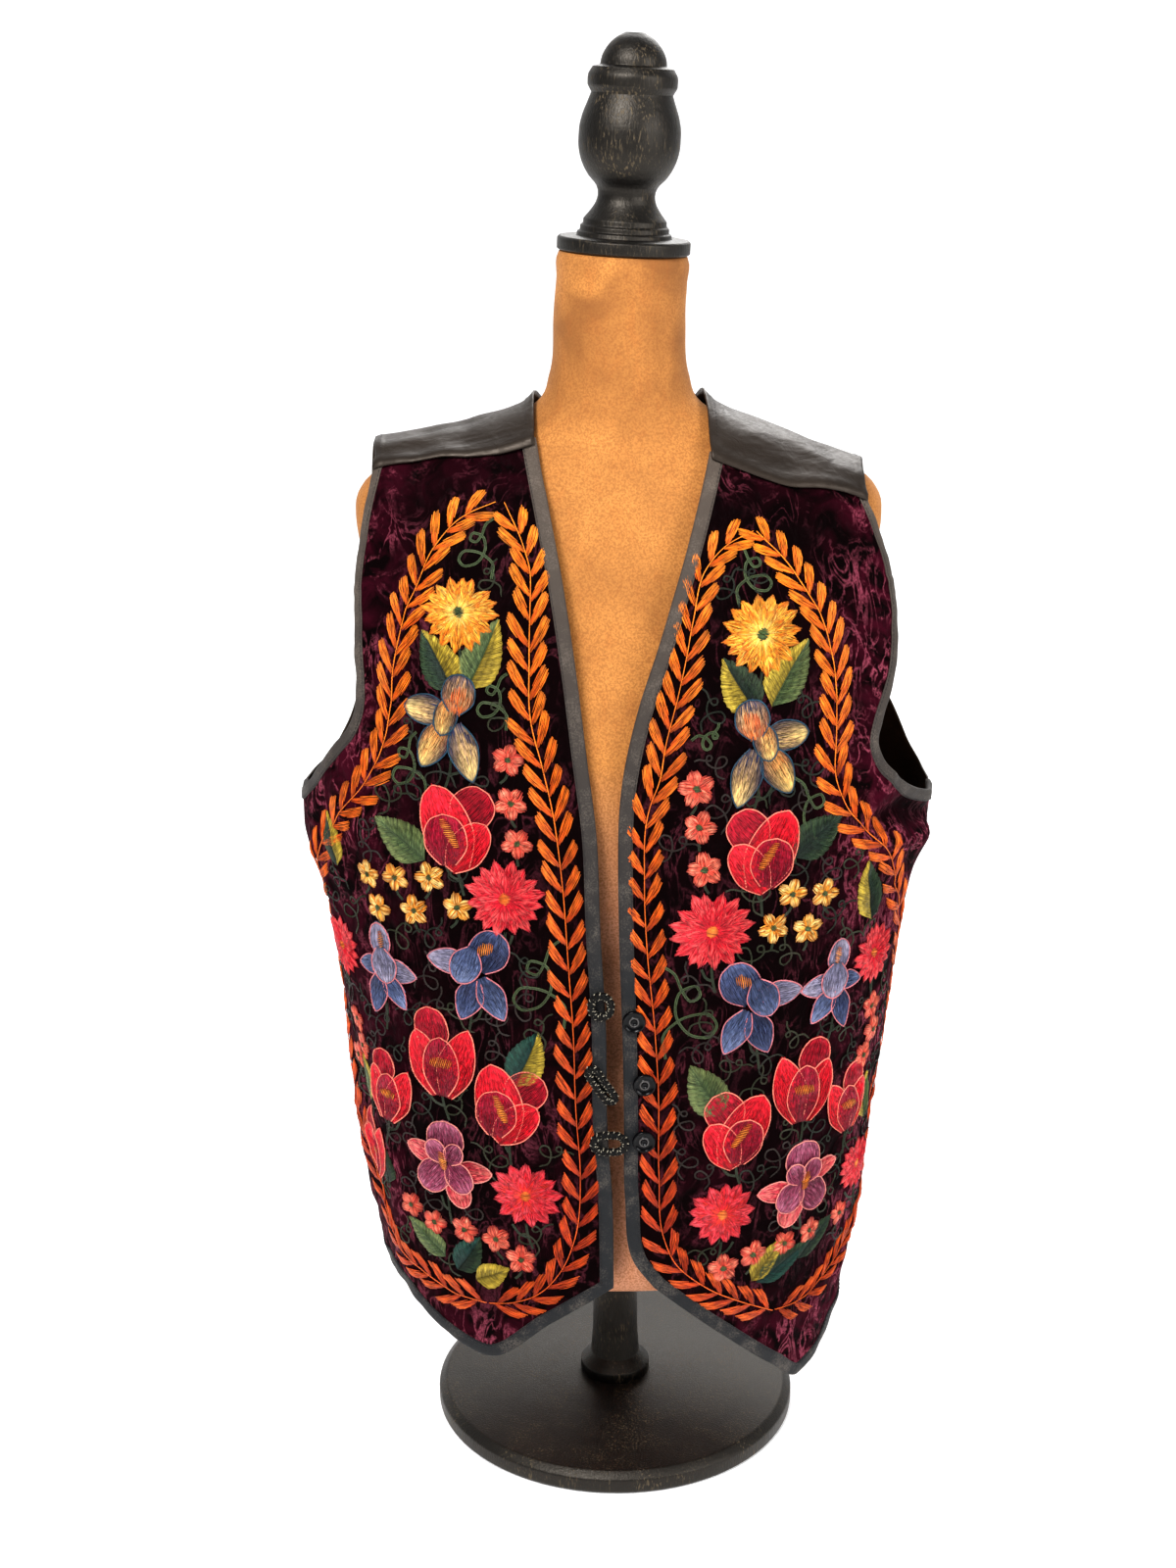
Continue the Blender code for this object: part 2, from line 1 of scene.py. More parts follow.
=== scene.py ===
"""Open embroidered velvet vest worn by a limbless dress form.

Lengths in the tables are millimetres; meshes are metres. X runs to the
wearer's left, Y to the back and Z up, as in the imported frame.
"""
from __future__ import annotations

import logging
import math
from dataclasses import dataclass
from enum import Enum
from typing import Iterable, Sequence

import bpy
import numpy as np
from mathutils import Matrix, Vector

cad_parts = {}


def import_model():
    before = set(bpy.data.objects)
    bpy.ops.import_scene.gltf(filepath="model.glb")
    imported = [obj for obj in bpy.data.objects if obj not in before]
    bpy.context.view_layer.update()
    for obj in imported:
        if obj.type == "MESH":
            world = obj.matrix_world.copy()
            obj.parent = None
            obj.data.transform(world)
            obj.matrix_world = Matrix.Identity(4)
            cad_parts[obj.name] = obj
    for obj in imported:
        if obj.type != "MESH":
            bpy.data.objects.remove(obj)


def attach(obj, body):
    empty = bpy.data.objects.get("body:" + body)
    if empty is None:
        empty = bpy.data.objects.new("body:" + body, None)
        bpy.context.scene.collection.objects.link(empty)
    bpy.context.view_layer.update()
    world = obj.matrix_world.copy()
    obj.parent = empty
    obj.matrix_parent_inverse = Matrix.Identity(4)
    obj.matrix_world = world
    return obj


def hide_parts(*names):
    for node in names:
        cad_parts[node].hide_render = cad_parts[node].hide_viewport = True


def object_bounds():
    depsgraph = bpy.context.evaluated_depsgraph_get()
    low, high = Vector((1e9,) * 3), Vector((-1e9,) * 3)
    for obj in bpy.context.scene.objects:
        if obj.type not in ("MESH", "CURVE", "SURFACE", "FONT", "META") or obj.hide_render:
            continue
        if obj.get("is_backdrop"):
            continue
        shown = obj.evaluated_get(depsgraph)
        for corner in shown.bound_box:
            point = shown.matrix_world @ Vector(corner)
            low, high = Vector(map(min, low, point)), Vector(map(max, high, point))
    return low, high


LOG = logging.getLogger("vest")
MM = 0.001
Spot = tuple[float, float]
Colour = tuple[float, float, float]
Array = np.ndarray
Piece = bpy.types.Object
Material = bpy.types.Material
Socket = bpy.types.NodeSocket

# Outer face of the worn vest: height, half width, front, back, squareness
VEST_SECTIONS = ((40, 164, 126, 112, 2.20), (130, 176, 129, 112, 2.20), (190, 187, 130, 111, 2.20),
    (275, 196, 131, 109, 2.20), (355, 204, 131, 109, 2.20), (435, 214, 131, 111, 2.20),
    (500, 229, 129, 115, 2.25), (540, 226, 126, 117, 2.30), (600, 212, 119, 116, 2.40),
    (660, 200, 107, 108, 2.40), (700, 193, 93, 97, 2.40), (725, 189, 82, 86, 2.30),
    (745, 178, 70, 73, 2.20), (756, 152, 64, 65, 2.10), (770, 115, 58, 58, 2.00),
    (779, 91, 54, 53, 2.00), (790, 67, 51, 49, 2.00), (802, 56, 50, 47, 2.00))
# Dress form, same columns
FORM_SECTIONS = ((150, 148, 104, 98, 2.40), (154, 151, 107, 101, 2.40), (200, 156, 108, 102, 2.40),
    (255, 158, 106, 100, 2.35), (320, 141, 100, 91, 2.25), (380, 127, 98, 82, 2.20),
    (450, 137, 111, 87, 2.25), (515, 152, 116, 97, 2.35), (575, 157, 112, 102, 2.40),
    (620, 163, 101, 103, 2.45), (660, 174, 89, 98, 2.50), (690, 182, 80, 89, 2.50),
    (712, 185, 73, 81, 2.40), (728, 182, 67, 74, 2.30), (739, 172, 62, 67, 2.20),
    (749, 150, 57, 61, 2.10), (760, 120, 52, 54, 2.00), (771, 91, 48, 49, 2.00),
    (780, 70, 46.5, 46.5, 2.00), (790, 56, 45.8, 45.5, 2.00), (808, 48.5, 45.4, 45, 2.00),
    (846, 45.5, 45, 45, 2.00), (872, 44.8, 44.8, 44.8, 2.00), (888, 44.6, 44.6, 44.6, 2.00),
    (890, 43.6, 43.6, 43.6, 2.00))
TURN_HEIGHT = 660.0
TURN_RADIUS = 105.0
OVER_SHOULDER = 2 * TURN_HEIGHT + math.pi * TURN_RADIUS
SHOULDER_LIFT = ((50, -2), (80, 0), (105, 2), (165, 14), (200, 16))
UNDERARM = 512.0
TILT = math.radians(3.0)
TILT_FROM = 842.0
CLOTH = 1.6


class Face(Enum):
    """Which side of the body a cloth face covers; its value signs Y."""

    FRONT = -1
    BACK = 1


def linear(red: float, green: float, blue: float) -> Colour:
    """Turn 0-255 display values into a linear colour.

    Args:
        red: Red.
        green: Green.
        blue: Blue.

    Returns:
        Linear red, green and blue.
    """
    out = []
    for level in (red, green, blue):
        part = level / 255.0
        out.append(part / 12.92 if part <= 0.04045 else ((part + 0.055) / 1.055) ** 2.4)
    return (out[0], out[1], out[2])


def smooth_table(table: Sequence[Sequence[float]], at: Array) -> Array:
    """Smooth the columns of a table whose first column is the place.

    Args:
        table: Rows of place and values, places rising.
        at: Places to read.

    Returns:
        One row of values for each place.
    """
    rows = np.asarray(table, float)
    level, value = rows[:, 0], rows[:, 1:]
    step = np.diff(level)[:, None]
    slope = np.diff(value, axis=0) / step
    inner = (slope[:-1] * step[1:] + slope[1:] * step[:-1]) / (step[1:] + step[:-1])
    inner[slope[:-1] * slope[1:] <= 0] = 0
    tangent = np.vstack([slope[:1], inner, slope[-1:]])
    place = np.clip(np.asarray(at, float), level[0], level[-1])
    i = np.clip(np.searchsorted(level, place, side="right") - 1, 0, len(level) - 2)
    s = ((place - level[i]) / step[i, 0])[..., None]
    low = (2 * s**3 - 3 * s**2 + 1) * value[i] + (s**3 - 2 * s**2 + s) * step[i] * tangent[i]
    high = (3 * s**2 - 2 * s**3) * value[i + 1] + (s**3 - s**2) * step[i] * tangent[i + 1]
    return low + high


def running(line: Array) -> Array:
    """Running length at each point of a polyline."""
    step = np.linalg.norm(np.diff(line, axis=0), axis=1)
    return np.concatenate([[0.0], np.cumsum(step)])


def curve(knots: Sequence[Sequence[float]], count: int = 300) -> Array:
    """Dense, evenly spaced smooth polyline through knots.

    Args:
        knots: Control spots.
        count: Points wanted.

    Returns:
        Array of points, the first and last being the end knots.
    """
    spots = np.asarray(knots, float)
    run = running(spots)
    line = smooth_table(np.column_stack([run, spots]), np.linspace(0, run[-1], 3 * count))
    return spaced(line, np.linspace(0, running(line)[-1], count))


def spaced(line: Array, places: Array) -> Array:
    """Points of a polyline at the given running lengths."""
    run = running(line)
    return np.column_stack([np.interp(places, run, line[:, k]) for k in range(line.shape[1])])


def across_unit(line: Array) -> Array:
    """Unit vectors to the left of a flat polyline.

    Args:
        line: (n, 2) spots in order.

    Returns:
        One unit vector for each spot.
    """
    way = np.gradient(line, axis=0)
    way /= np.maximum(np.linalg.norm(way, axis=1, keepdims=True), 1e-9)
    return np.column_stack([-way[:, 1], way[:, 0]])


@dataclass(frozen=True)
class Fold:
    """Soft trough (negative) or ridge (positive) along a line on the cloth."""

    path: tuple[Spot, ...]
    depth: float
    width: float

    def rise(self, across: Array, up: Array) -> Array:
        """Height of the fold over a grid of spots.

        Args:
            across: Across values.
            up: Up values.

        Returns:
            Millimetres out from the smooth face.
        """
        total = np.zeros(np.broadcast(across, up).shape)
        spots = np.asarray(self.path, float)
        run = running(spots)
        near = np.full(total.shape, 1e9)
        place = np.zeros(total.shape)
        for i in range(len(spots) - 1):
            way = spots[i + 1] - spots[i]
            size = float(way @ way)
            t = ((across - spots[i, 0]) * way[0] + (up - spots[i, 1]) * way[1]) / size
            t = np.clip(t, 0, 1)
            gap = np.hypot(across - spots[i, 0] - t * way[0], up - spots[i, 1] - t * way[1])
            closer = gap < near
            near = np.where(closer, gap, near)
            place = np.where(closer, (run[i] + t * math.sqrt(size)) / run[-1], place)
        fade = np.sin(np.pi * (0.08 + 0.84 * place)) ** 0.8
        wander = 1 + 0.25 * np.sin(place * 9 + self.width)
        return total + self.depth * fade * np.exp(-((near / (self.width * wander)) ** 2))


def folds(*rows: tuple[float, ...]) -> tuple[Fold, ...]:
    """Folds from rows of depth, width and then across and up of each spot."""
    return tuple(Fold(tuple(zip(row[2::2], row[3::2])), row[0], row[1]) for row in rows)


# Troughs and ridges of the velvet
FRONT_FOLDS = folds((-10.0, 9, 276, 494, 240, 505, 214, 514, 182, 510),
    (5.5, 7, 276, 478, 232, 488, 200, 494, 170, 496), (4.0, 6, 204, 546, 188, 530, 168, 510),
    (-3.0, 8, 226, 470, 205, 430, 196, 400), (-7.0, 12, 226, 90, 233, 150, 238, 220, 240, 290),
    (3.5, 12, 200, 84, 208, 150, 216, 230), (3.0, 10, 252, 130, 256, 200, 262, 290),
    (-2.2, 16, 150, 80, 160, 180, 168, 300), (-1.8, 12, 192, 560, 168, 600, 150, 660),
    (1.8, 22, 70, 130, 64, 240, 60, 360), (-1.8, 9, 176, 742, 140, 720, 90, 712),
    (-3.6, 13, -236, 520, -206, 490, -186, 452), (3.0, 12, -262, 500, -240, 450, -234, 400),
    (-4.2, 13, -224, 340, -214, 250, -206, 160), (3.4, 12, -252, 330, -240, 240, -232, 170),
    (2.4, 14, -186, 330, -182, 250, -172, 150), (-2.0, 20, -120, 120, -128, 220, -120, 330),
    (-2.0, 9, -160, 740, -120, 722, -80, 716), (1.6, 12, -178, 700, -150, 670, -128, 640),
    (1.6, 22, -56, 130, -60, 260, -56, 380))
# The satin back: long folds from the shoulder blades, cross wrinkles at the
# waist and short pulls over the shoulders
BACK_FOLDS = folds((-3.4, 20, -4, 700, 4, 560, -2, 400, 4, 220),
    (3.4, 22, -72, 640, -84, 520, -74, 380, -80, 200), (3.2, 20, 80, 650, 88, 520, 76, 390, 86,
    190), (-3.6, 18, -140, 600, -150, 480, -138, 330, -146, 180),
    (-3.8, 18, 146, 600, 154, 470, 140, 330, 150, 170), (3.2, 16, -214, 470, -206, 380, -214, 250,
    -210, 170), (3.2, 16, 216, 480, 206, 380, 216, 260, 212, 170),
    (-3.4, 12, -236, 520, -190, 480, -140, 466), (-3.2, 12, 238, 520, 190, 478, 138, 462),
    (-2.6, 12, -120, 404, -40, 392, 40, 398, 118, 408), (2.0, 10, -110, 430, -30, 420, 60, 428),
    (1.8, 10, -40, 360, 40, 352, 130, 366), (-1.8, 6, -168, 838, -120, 828, -74, 832),
    (1.4, 5, -170, 856, -130, 846, -90, 848), (-1.6, 6, 168, 846, 120, 832, 76, 838),
    (1.2, 5, 164, 866, 120, 850, 82, 856), (-2.2, 12, -150, 760, -90, 720, -40, 700),
    (-2.2, 12, 150, 764, 96, 720, 36, 704))


class Drape:
    """Outer face of the vest on one side, addressed by (across, up)."""

    STEP = 2.5

    def __init__(self, face: Face, folds: Sequence[Fold]) -> None:
        """Sample the folded face on a regular grid.

        Args:
            face: Front or back.
            folds: Troughs and ridges to add.
        """
        side = face.value
        self.face = face
        self.seam_angle = math.radians(91.0 if side < 0 else 89.0)
        self.across = np.arange(-330.0, 330.1, self.STEP)
        self.up = np.arange(45.0, 892.0, self.STEP)
        self.angle = np.radians(np.arange(-130, 131, 1.0))
        level = np.minimum(self.up, TURN_HEIGHT)
        half, front, back, power = [c[:, None] for c in smooth_table(VEST_SECTIONS, level).T]
        near, far = (front, back) if side < 0 else (back, front)
        sine, cosine = np.sin(self.angle)[None], np.cos(self.angle)[None]
        x = half * np.sign(sine) * np.abs(sine) ** (2 / power)
        y = side * np.where(cosine > 0, near, -far) * np.abs(cosine) ** (2 / power)
        arc = np.cumsum(np.hypot(np.diff(x, axis=1), np.diff(y, axis=1)), axis=1)
        arc = np.hstack([np.zeros((len(arc), 1)), arc])
        self.arc = arc - arc[:, [len(self.angle) // 2]]
        self.seam_across = np.array([np.interp(self.seam_angle, self.angle, row)
            for row in self.arc])
        rows = range(len(self.up))
        x = np.array([np.interp(self.across, self.arc[r], x[r]) for r in rows])
        y = np.array([np.interp(self.across, self.arc[r], y[r]) for r in rows])
        z = level[:, None] + np.zeros_like(x)
        over = self.up > TURN_HEIGHT
        turn = ((self.up[over] - TURN_HEIGHT) / TURN_RADIUS)[:, None]
        reach = self.reach(side, x[over], turn)
        y[over] = side * reach * np.cos(turn)
        z[over] = TURN_HEIGHT + reach * np.sin(turn)
        self.points = np.stack([x, y, z + self.lift(x, z)], axis=-1)
        self.normals = self.face_normals()
        grid_across, grid_up = np.meshgrid(self.across, self.up)
        rise = sum(fold.rise(grid_across, grid_up) for fold in folds)
        inside = (self.seam_across[:, None] - np.abs(grid_across)) / 20
        seam_up = OVER_SHOULDER - 765 if side > 0 else 800.0
        self.relief = rise
        top = np.clip((seam_up - grid_up) / 25, 0, 1)
        soft, quick = (np.clip(inside * k, 0, 1) * top for k in (1.0, 3.0))
        rise = rise * quick * quick * (3 - 2 * quick)
        rise = rise + self.crinkle(grid_across, grid_up) * soft * soft * (3 - 2 * soft)
        self.points = self.points + self.normals * rise[..., None]
        self.normals = self.face_normals()

    def crinkle(self, across: Array, up: Array) -> Array:
        """Small wrinkles, stronger towards the sides of the fronts.

        Args:
            across: Across values.
            up: Up values.

        Returns:
            Millimetres out from the folded face.
        """
        rng = np.random.default_rng(5 if self.face is Face.FRONT else 9)
        front = self.face is Face.FRONT
        total = np.zeros(across.shape)
        for _ in range(26):
            way = rng.uniform(0, math.pi)
            wave = rng.uniform(13, 34) if front else rng.uniform(22, 80)
            bend = rng.uniform(20, 60)
            phase = (across * math.cos(way) + up * math.sin(way)) * 2 * math.pi / wave
            phase = phase + 1.6 * np.sin((across * math.sin(way) - up * math.cos(way)) / bend)
            total = total + np.sin(phase + rng.uniform(0, 6.3)) / 5.1
        if not front:
            return total * 0.62
        side = np.clip((np.abs(across) - 120) / 90, 0, 1)
        arm = np.clip((up - 470) / 60, 0, 1)
        return total * (0.14 + 0.5 * side * (1 - 0.6 * arm))

    def face_normals(self) -> Array:
        """Outward unit normals of the sampled grid.

        Returns:
            One normal for each sample.
        """
        along = np.gradient(self.points, axis=1)
        climb = np.gradient(self.points, axis=0)
        normal = -self.face.value * np.cross(along, climb)
        size = np.linalg.norm(normal, axis=-1, keepdims=True)
        return normal / np.maximum(size, 1e-9)

    @staticmethod
    def lift(x: Array, z: Array) -> Array:
        """Rise of the cloth over the right shoulder.

        Args:
            x: Sideways places.
            z: Heights.

        Returns:
            Millimetres up.
        """
        out, rise = np.array(SHOULDER_LIFT, float).T
        fade = np.clip((z - 670) / 60, 0, 1)
        fade = fade * fade * (3 - 2 * fade)
        return np.where(x < -out[0], np.interp(-x, out, rise) * fade, 0.0)

    @staticmethod
    def reach(side: int, x: Array, turn: Array) -> Array:
        """Distance from the shoulder axis to the face, by halving.

        Args:
            side: Sign of Y on this face.
            x: Sideways places.
            turn: Angles over the shoulder.

        Returns:
            Distances in millimetres.
        """
        low = np.zeros(np.broadcast(x, turn).shape)
        high = np.full_like(low, 400.0)
        for _ in range(30):
            middle = (low + high) / 2
            y = side * middle * np.cos(turn)
            z = TURN_HEIGHT + middle * np.sin(turn)
            half, front, back, power = np.moveaxis(smooth_table(VEST_SECTIONS, z), -1, 0)
            depth = np.where(y < 0, front, back)
            outside = (np.abs(x) / half) ** power + (np.abs(y) / depth) ** power > 1
            outside |= z > VEST_SECTIONS[-1][0]
            high = np.where(outside, middle, high)
            low = np.where(outside, low, middle)
        return low

    def side_seam(self, up: float) -> float:
        """Across value of the side seam at the given height."""
        return float(np.interp(up, self.up, self.seam_across))

    def at(self, spots: Array) -> tuple[Array, Array]:
        """Read the face.

        Args:
            spots: (n, 2) signed across and up values.

        Returns:
            Points and unit normals, in millimetres.
        """
        spots = np.asarray(spots, float)
        place, normal = self.read(self.points, spots), self.read(self.normals, spots)
        return place, normal / np.maximum(np.linalg.norm(normal, axis=1, keepdims=True), 1e-9)

    def read(self, grid: Array, spots: Array) -> Array:
        """Blend a sampled grid's rows at (n, 2) spots.

        Args:
            grid: Samples by up and across.
            spots: Signed across and up values.

        Returns:
            One row for each spot.
        """
        column = (spots[:, 0] - self.across[0]) / self.STEP
        row = (spots[:, 1] - self.up[0]) / self.STEP
        c = np.clip(column.astype(int), 0, len(self.across) - 2)
        r = np.clip(row.astype(int), 0, len(self.up) - 2)
        fc, fr = (column - c)[:, None], (row - r)[:, None]
        low = grid[r, c] * (1 - fc) + grid[r, c + 1] * fc
        high = grid[r + 1, c] * (1 - fc) + grid[r + 1, c + 1] * fc
        return low * (1 - fr) + high * fr


@dataclass(frozen=True)
class Cut:
    """Four edges of a cut panel, with across measured away from the centre."""

    inner: tuple[Spot, ...]
    hem: tuple[Spot, ...]
    armhole: tuple[Spot, ...]
    seam: tuple[Spot, ...]
    sign: int


RIGHT_CUT = Cut(inner=((4, 168), (5, 236), (9, 300), (10, 372), (14, 444), (17, 516), (23, 564),
    (31, 628), (39, 680), (50, 742), (58, 783)), hem=((4, 168), (49, 137), (99, 101), (149, 117),
    (182, 135), (222, 143)), armhole=((268, 514), (250, 525), (231, 541), (212, 560), (196, 577),
    (190, 598), (193, 630), (195, 672), (187, 735), (174, 778)),
    seam=((58, 783), (85, 780), (119, 781), (146, 777), (174, 778)), sign=-1)
LEFT_CUT = Cut(inner=((27, 168), (13, 188), (6, 240), (5, 300), (4, 352), (1, 440), (0, 500),
    (2, 545), (12, 595), (28, 645), (42, 692), (54, 740), (62, 774)),
    hem=((27, 168), (78, 124), (122, 86), (149, 66), (178, 76), (207, 104), (232, 130)),
    armhole=((268, 514), (240, 521), (214, 533), (195, 549), (187, 566), (192, 583), (205, 608),
    (213, 645), (208, 690), (194, 740), (176, 771)), seam=((62, 774), (79, 770), (98, 765),
    (116, 762), (139, 766), (176, 771)), sign=1)
BACK_CENTRE = ((0, 136), (0, 250), (0, 360), (0, 470), (0, 580), (0, 690), (0, 762))
BACK_NECK = ((0, 762), (26, 767), (45, 783), (56, 806), (60, 832))
BACK_HEM = ((0, 136), (80, 136), (160, 138), (222, 142))
RIGHT_BACK_ARMHOLE = ((256, 513), (232, 522), (212, 544), (202, 585), (199, 640), (194, 705),
    (186, 770), (178, 820))
LEFT_BACK_ARMHOLE = ((262, 516), (240, 532), (220, 560), (206, 600), (200, 650), (194, 710),
    (186, 770), (178, 820))
STRAP_LAP = 5.0


def add_mesh(name: str, points: Array, faces: Sequence[Sequence[int]]) -> Piece:
    """Link a smooth mesh object at the origin.

    Args:
        name: Piece name.
        points: Vertices in millimetres.
        faces: Vertex indices of each face.

    Returns:
        The new object.
    """
    mesh = bpy.data.meshes.new(name)
    mesh.from_pydata((np.asarray(points, float) * MM).tolist(), [], [tuple(f) for f in faces])
    mesh.validate()
    mesh.shade_smooth()
    piece = bpy.data.objects.new(name, mesh)
    bpy.context.scene.collection.objects.link(piece)
    return piece


def face_out(piece: Piece) -> None:
    """Turn a closed mesh whose faces look inwards.

    Args:
        piece: Closed mesh.
    """
    mesh = piece.data
    mesh.calc_loop_triangles()
    count = len(mesh.loop_triangles)
    index = np.empty(count * 3, int)
    mesh.loop_triangles.foreach_get("vertices", index)
    spots = np.empty(len(mesh.vertices) * 3)
    mesh.vertices.foreach_get("co", spots)
    a, b, c = (spots.reshape(-1, 3)[index.reshape(-1, 3)[:, k]] for k in range(3))
    if float(np.einsum("ij,ij->i", a, np.cross(b, c)).sum()) < 0:
        mesh.flip_normals()


def skin(name: str, rings: Array, closed: bool) -> Piece:
    """Skin a row of equal rings into a closed piece.

    Args:
        name: Piece name.
        rings: (stations, sides, 3) points in millimetres.
        closed: Whether the last ring joins the first.

    Returns:
        The new object.
    """
    count, sides = rings.shape[:2]
    faces = []
    for i in range(count if closed else count - 1):
        j = (i + 1) % count
        for k in range(sides):
            n = (k + 1) % sides
            faces.append((i * sides + k, i * sides + n, j * sides + n, j * sides + k))
    points = rings.reshape(-1, 3)
    if not closed:
        points = np.vstack([points, rings[0].mean(0), rings[-1].mean(0)])
        last = (count - 1) * sides
        for k in range(sides):
            n = (k + 1) % sides
            faces.append((n, k, count * sides))
            faces.append((last + k, last + n, count * sides + 1))
    piece = add_mesh(name, points, faces)
    face_out(piece)
    return piece


def set_values(piece: Piece, name: str, values: Array) -> None:
    """Store one number per vertex under a name."""
    layer = piece.data.attributes.new(name, "FLOAT", "POINT")
    layer.data.foreach_set("value", np.asarray(values, np.float32))


class Sheet:
    """Grid of spots spanned between the four edges of a cut panel."""

    SIDE_ROWS = 78
    ARM_ROWS = 84
    COLUMNS = 64

    def __init__(self, drape: Drape, edges: tuple[Array, ...],
            knee: tuple[int, float] | None = None) -> None:
        """Blend the inside of the panel from its edges.

        Args:
            drape: Face that the panel lies on.
            edges: Dense inner, hem, armhole and seam edges, across positive.
            knee: Rows up to a bend of the inner edge and its running length.
        """
        inner, hem, arm, seam = edges
        low, high = hem[-1, 1], arm[0, 1]
        side_up = np.linspace(low, high, self.SIDE_ROWS + 1)
        side = np.array([(drape.side_seam(v) - 0.06, v) for v in side_up])
        rows = self.SIDE_ROWS + self.ARM_ROWS
        arm_at = np.linspace(0, running(arm)[-1], self.ARM_ROWS + 1)[1:]
        right = np.vstack([side, spaced(arm, arm_at)])
        whole = running(inner)[-1]
        count, length = knee or (rows, whole)
        left_at = np.concatenate([np.linspace(0, length, count + 1),
            np.linspace(length, whole, rows - count + 1)[1:]])
        left = spaced(inner, left_at)
        bottom = spaced(hem, np.linspace(0, running(hem)[-1], self.COLUMNS + 1))
        top = spaced(seam, np.linspace(0, running(seam)[-1], self.COLUMNS + 1))
        s = np.linspace(0, 1, self.COLUMNS + 1)[None, :, None]
        t = np.linspace(0, 1, rows + 1)[:, None, None]
        grid = (1 - s) * left[:, None] + s * right[:, None]
        grid = grid + (1 - t) * bottom[None] + t * top[None]
        grid = grid - (1 - t) * ((1 - s) * left[0] + s * right[0])
        self.grid = grid - t * ((1 - s) * left[-1] + s * right[-1])

    def area(self) -> float:
        """Flat area of the panel in square metres, warning of any fold-over.

        Returns:
            Square metres.
        """
        g = self.grid
        one = g[1:, 1:] - g[:-1, :-1]
        two = g[1:, :-1] - g[:-1, 1:]
        cells = (one[..., 0] * two[..., 1] - one[..., 1] * two[..., 0]) / 2
        if (cells < 0).any() and (cells > 0).any():
            LOG.warning("panel grid folds over in %d cells", int((cells < 0).sum()))
        return abs(float(cells.sum())) * MM * MM

    def faces(self, flip: bool) -> list[tuple[int, ...]]:
        """Quads of the grid, turned round where flip is set.

        Args:
            flip: Whether to turn each quad round.

        Returns:
            Vertex numbers of each quad.
        """
        rows, columns = self.grid.shape[:2]
        found = []
        for r in range(rows - 1):
            for c in range(columns - 1):
                a = r * columns + c
                quad = (a, a + 1, a + columns + 1, a + columns)
                found.append(quad[::-1] if flip else quad)
        return found


def cloth_shell(name: str, outer: Array, out: Array, faces: list[tuple[int, ...]],
        wall: float) -> Piece:
    """Close a sheet into a thin shell with rounded edges.

    Args:
        name: Piece name.
        outer: Points of the outer face in millimetres.
        out: Outward unit normals.
        faces: Quads of the outer face, looking out.
        wall: Thickness.

    Returns:
        Shell whose inner face has material slot 1.
    """
    count = len(outer)
    used = {(a, b) for face in faces for a, b in zip(face, face[1:] + face[:1])}
    after = {a: b for a, b in used if (b, a) not in used}
    before = {b: a for a, b in after.items()}
    rim = list(after)
    tangent = outer[[after[i] for i in rim]] - outer[[before[i] for i in rim]]
    away = np.cross(tangent, out[rim])
    away /= np.maximum(np.linalg.norm(away, axis=1, keepdims=True), 1e-9)
    middle = outer[rim] - out[rim] * wall / 2 + away * wall * 0.42
    place = {vertex: 2 * count + k for k, vertex in enumerate(rim)}
    inner = [tuple(i + count for i in face[::-1]) for face in faces]
    walls = []
    for a, b in after.items():
        walls.append((b, a, place[a], place[b]))
        walls.append((place[b], place[a], a + count, b + count))
    points = np.vstack([outer, outer - out * wall, middle])
    piece = add_mesh(name, points, list(faces) + inner + walls)
    slots = np.zeros(len(piece.data.polygons), np.int32)
    slots[len(faces):len(faces) + len(inner)] = 1
    piece.data.polygons.foreach_set("material_index", slots)
    return piece


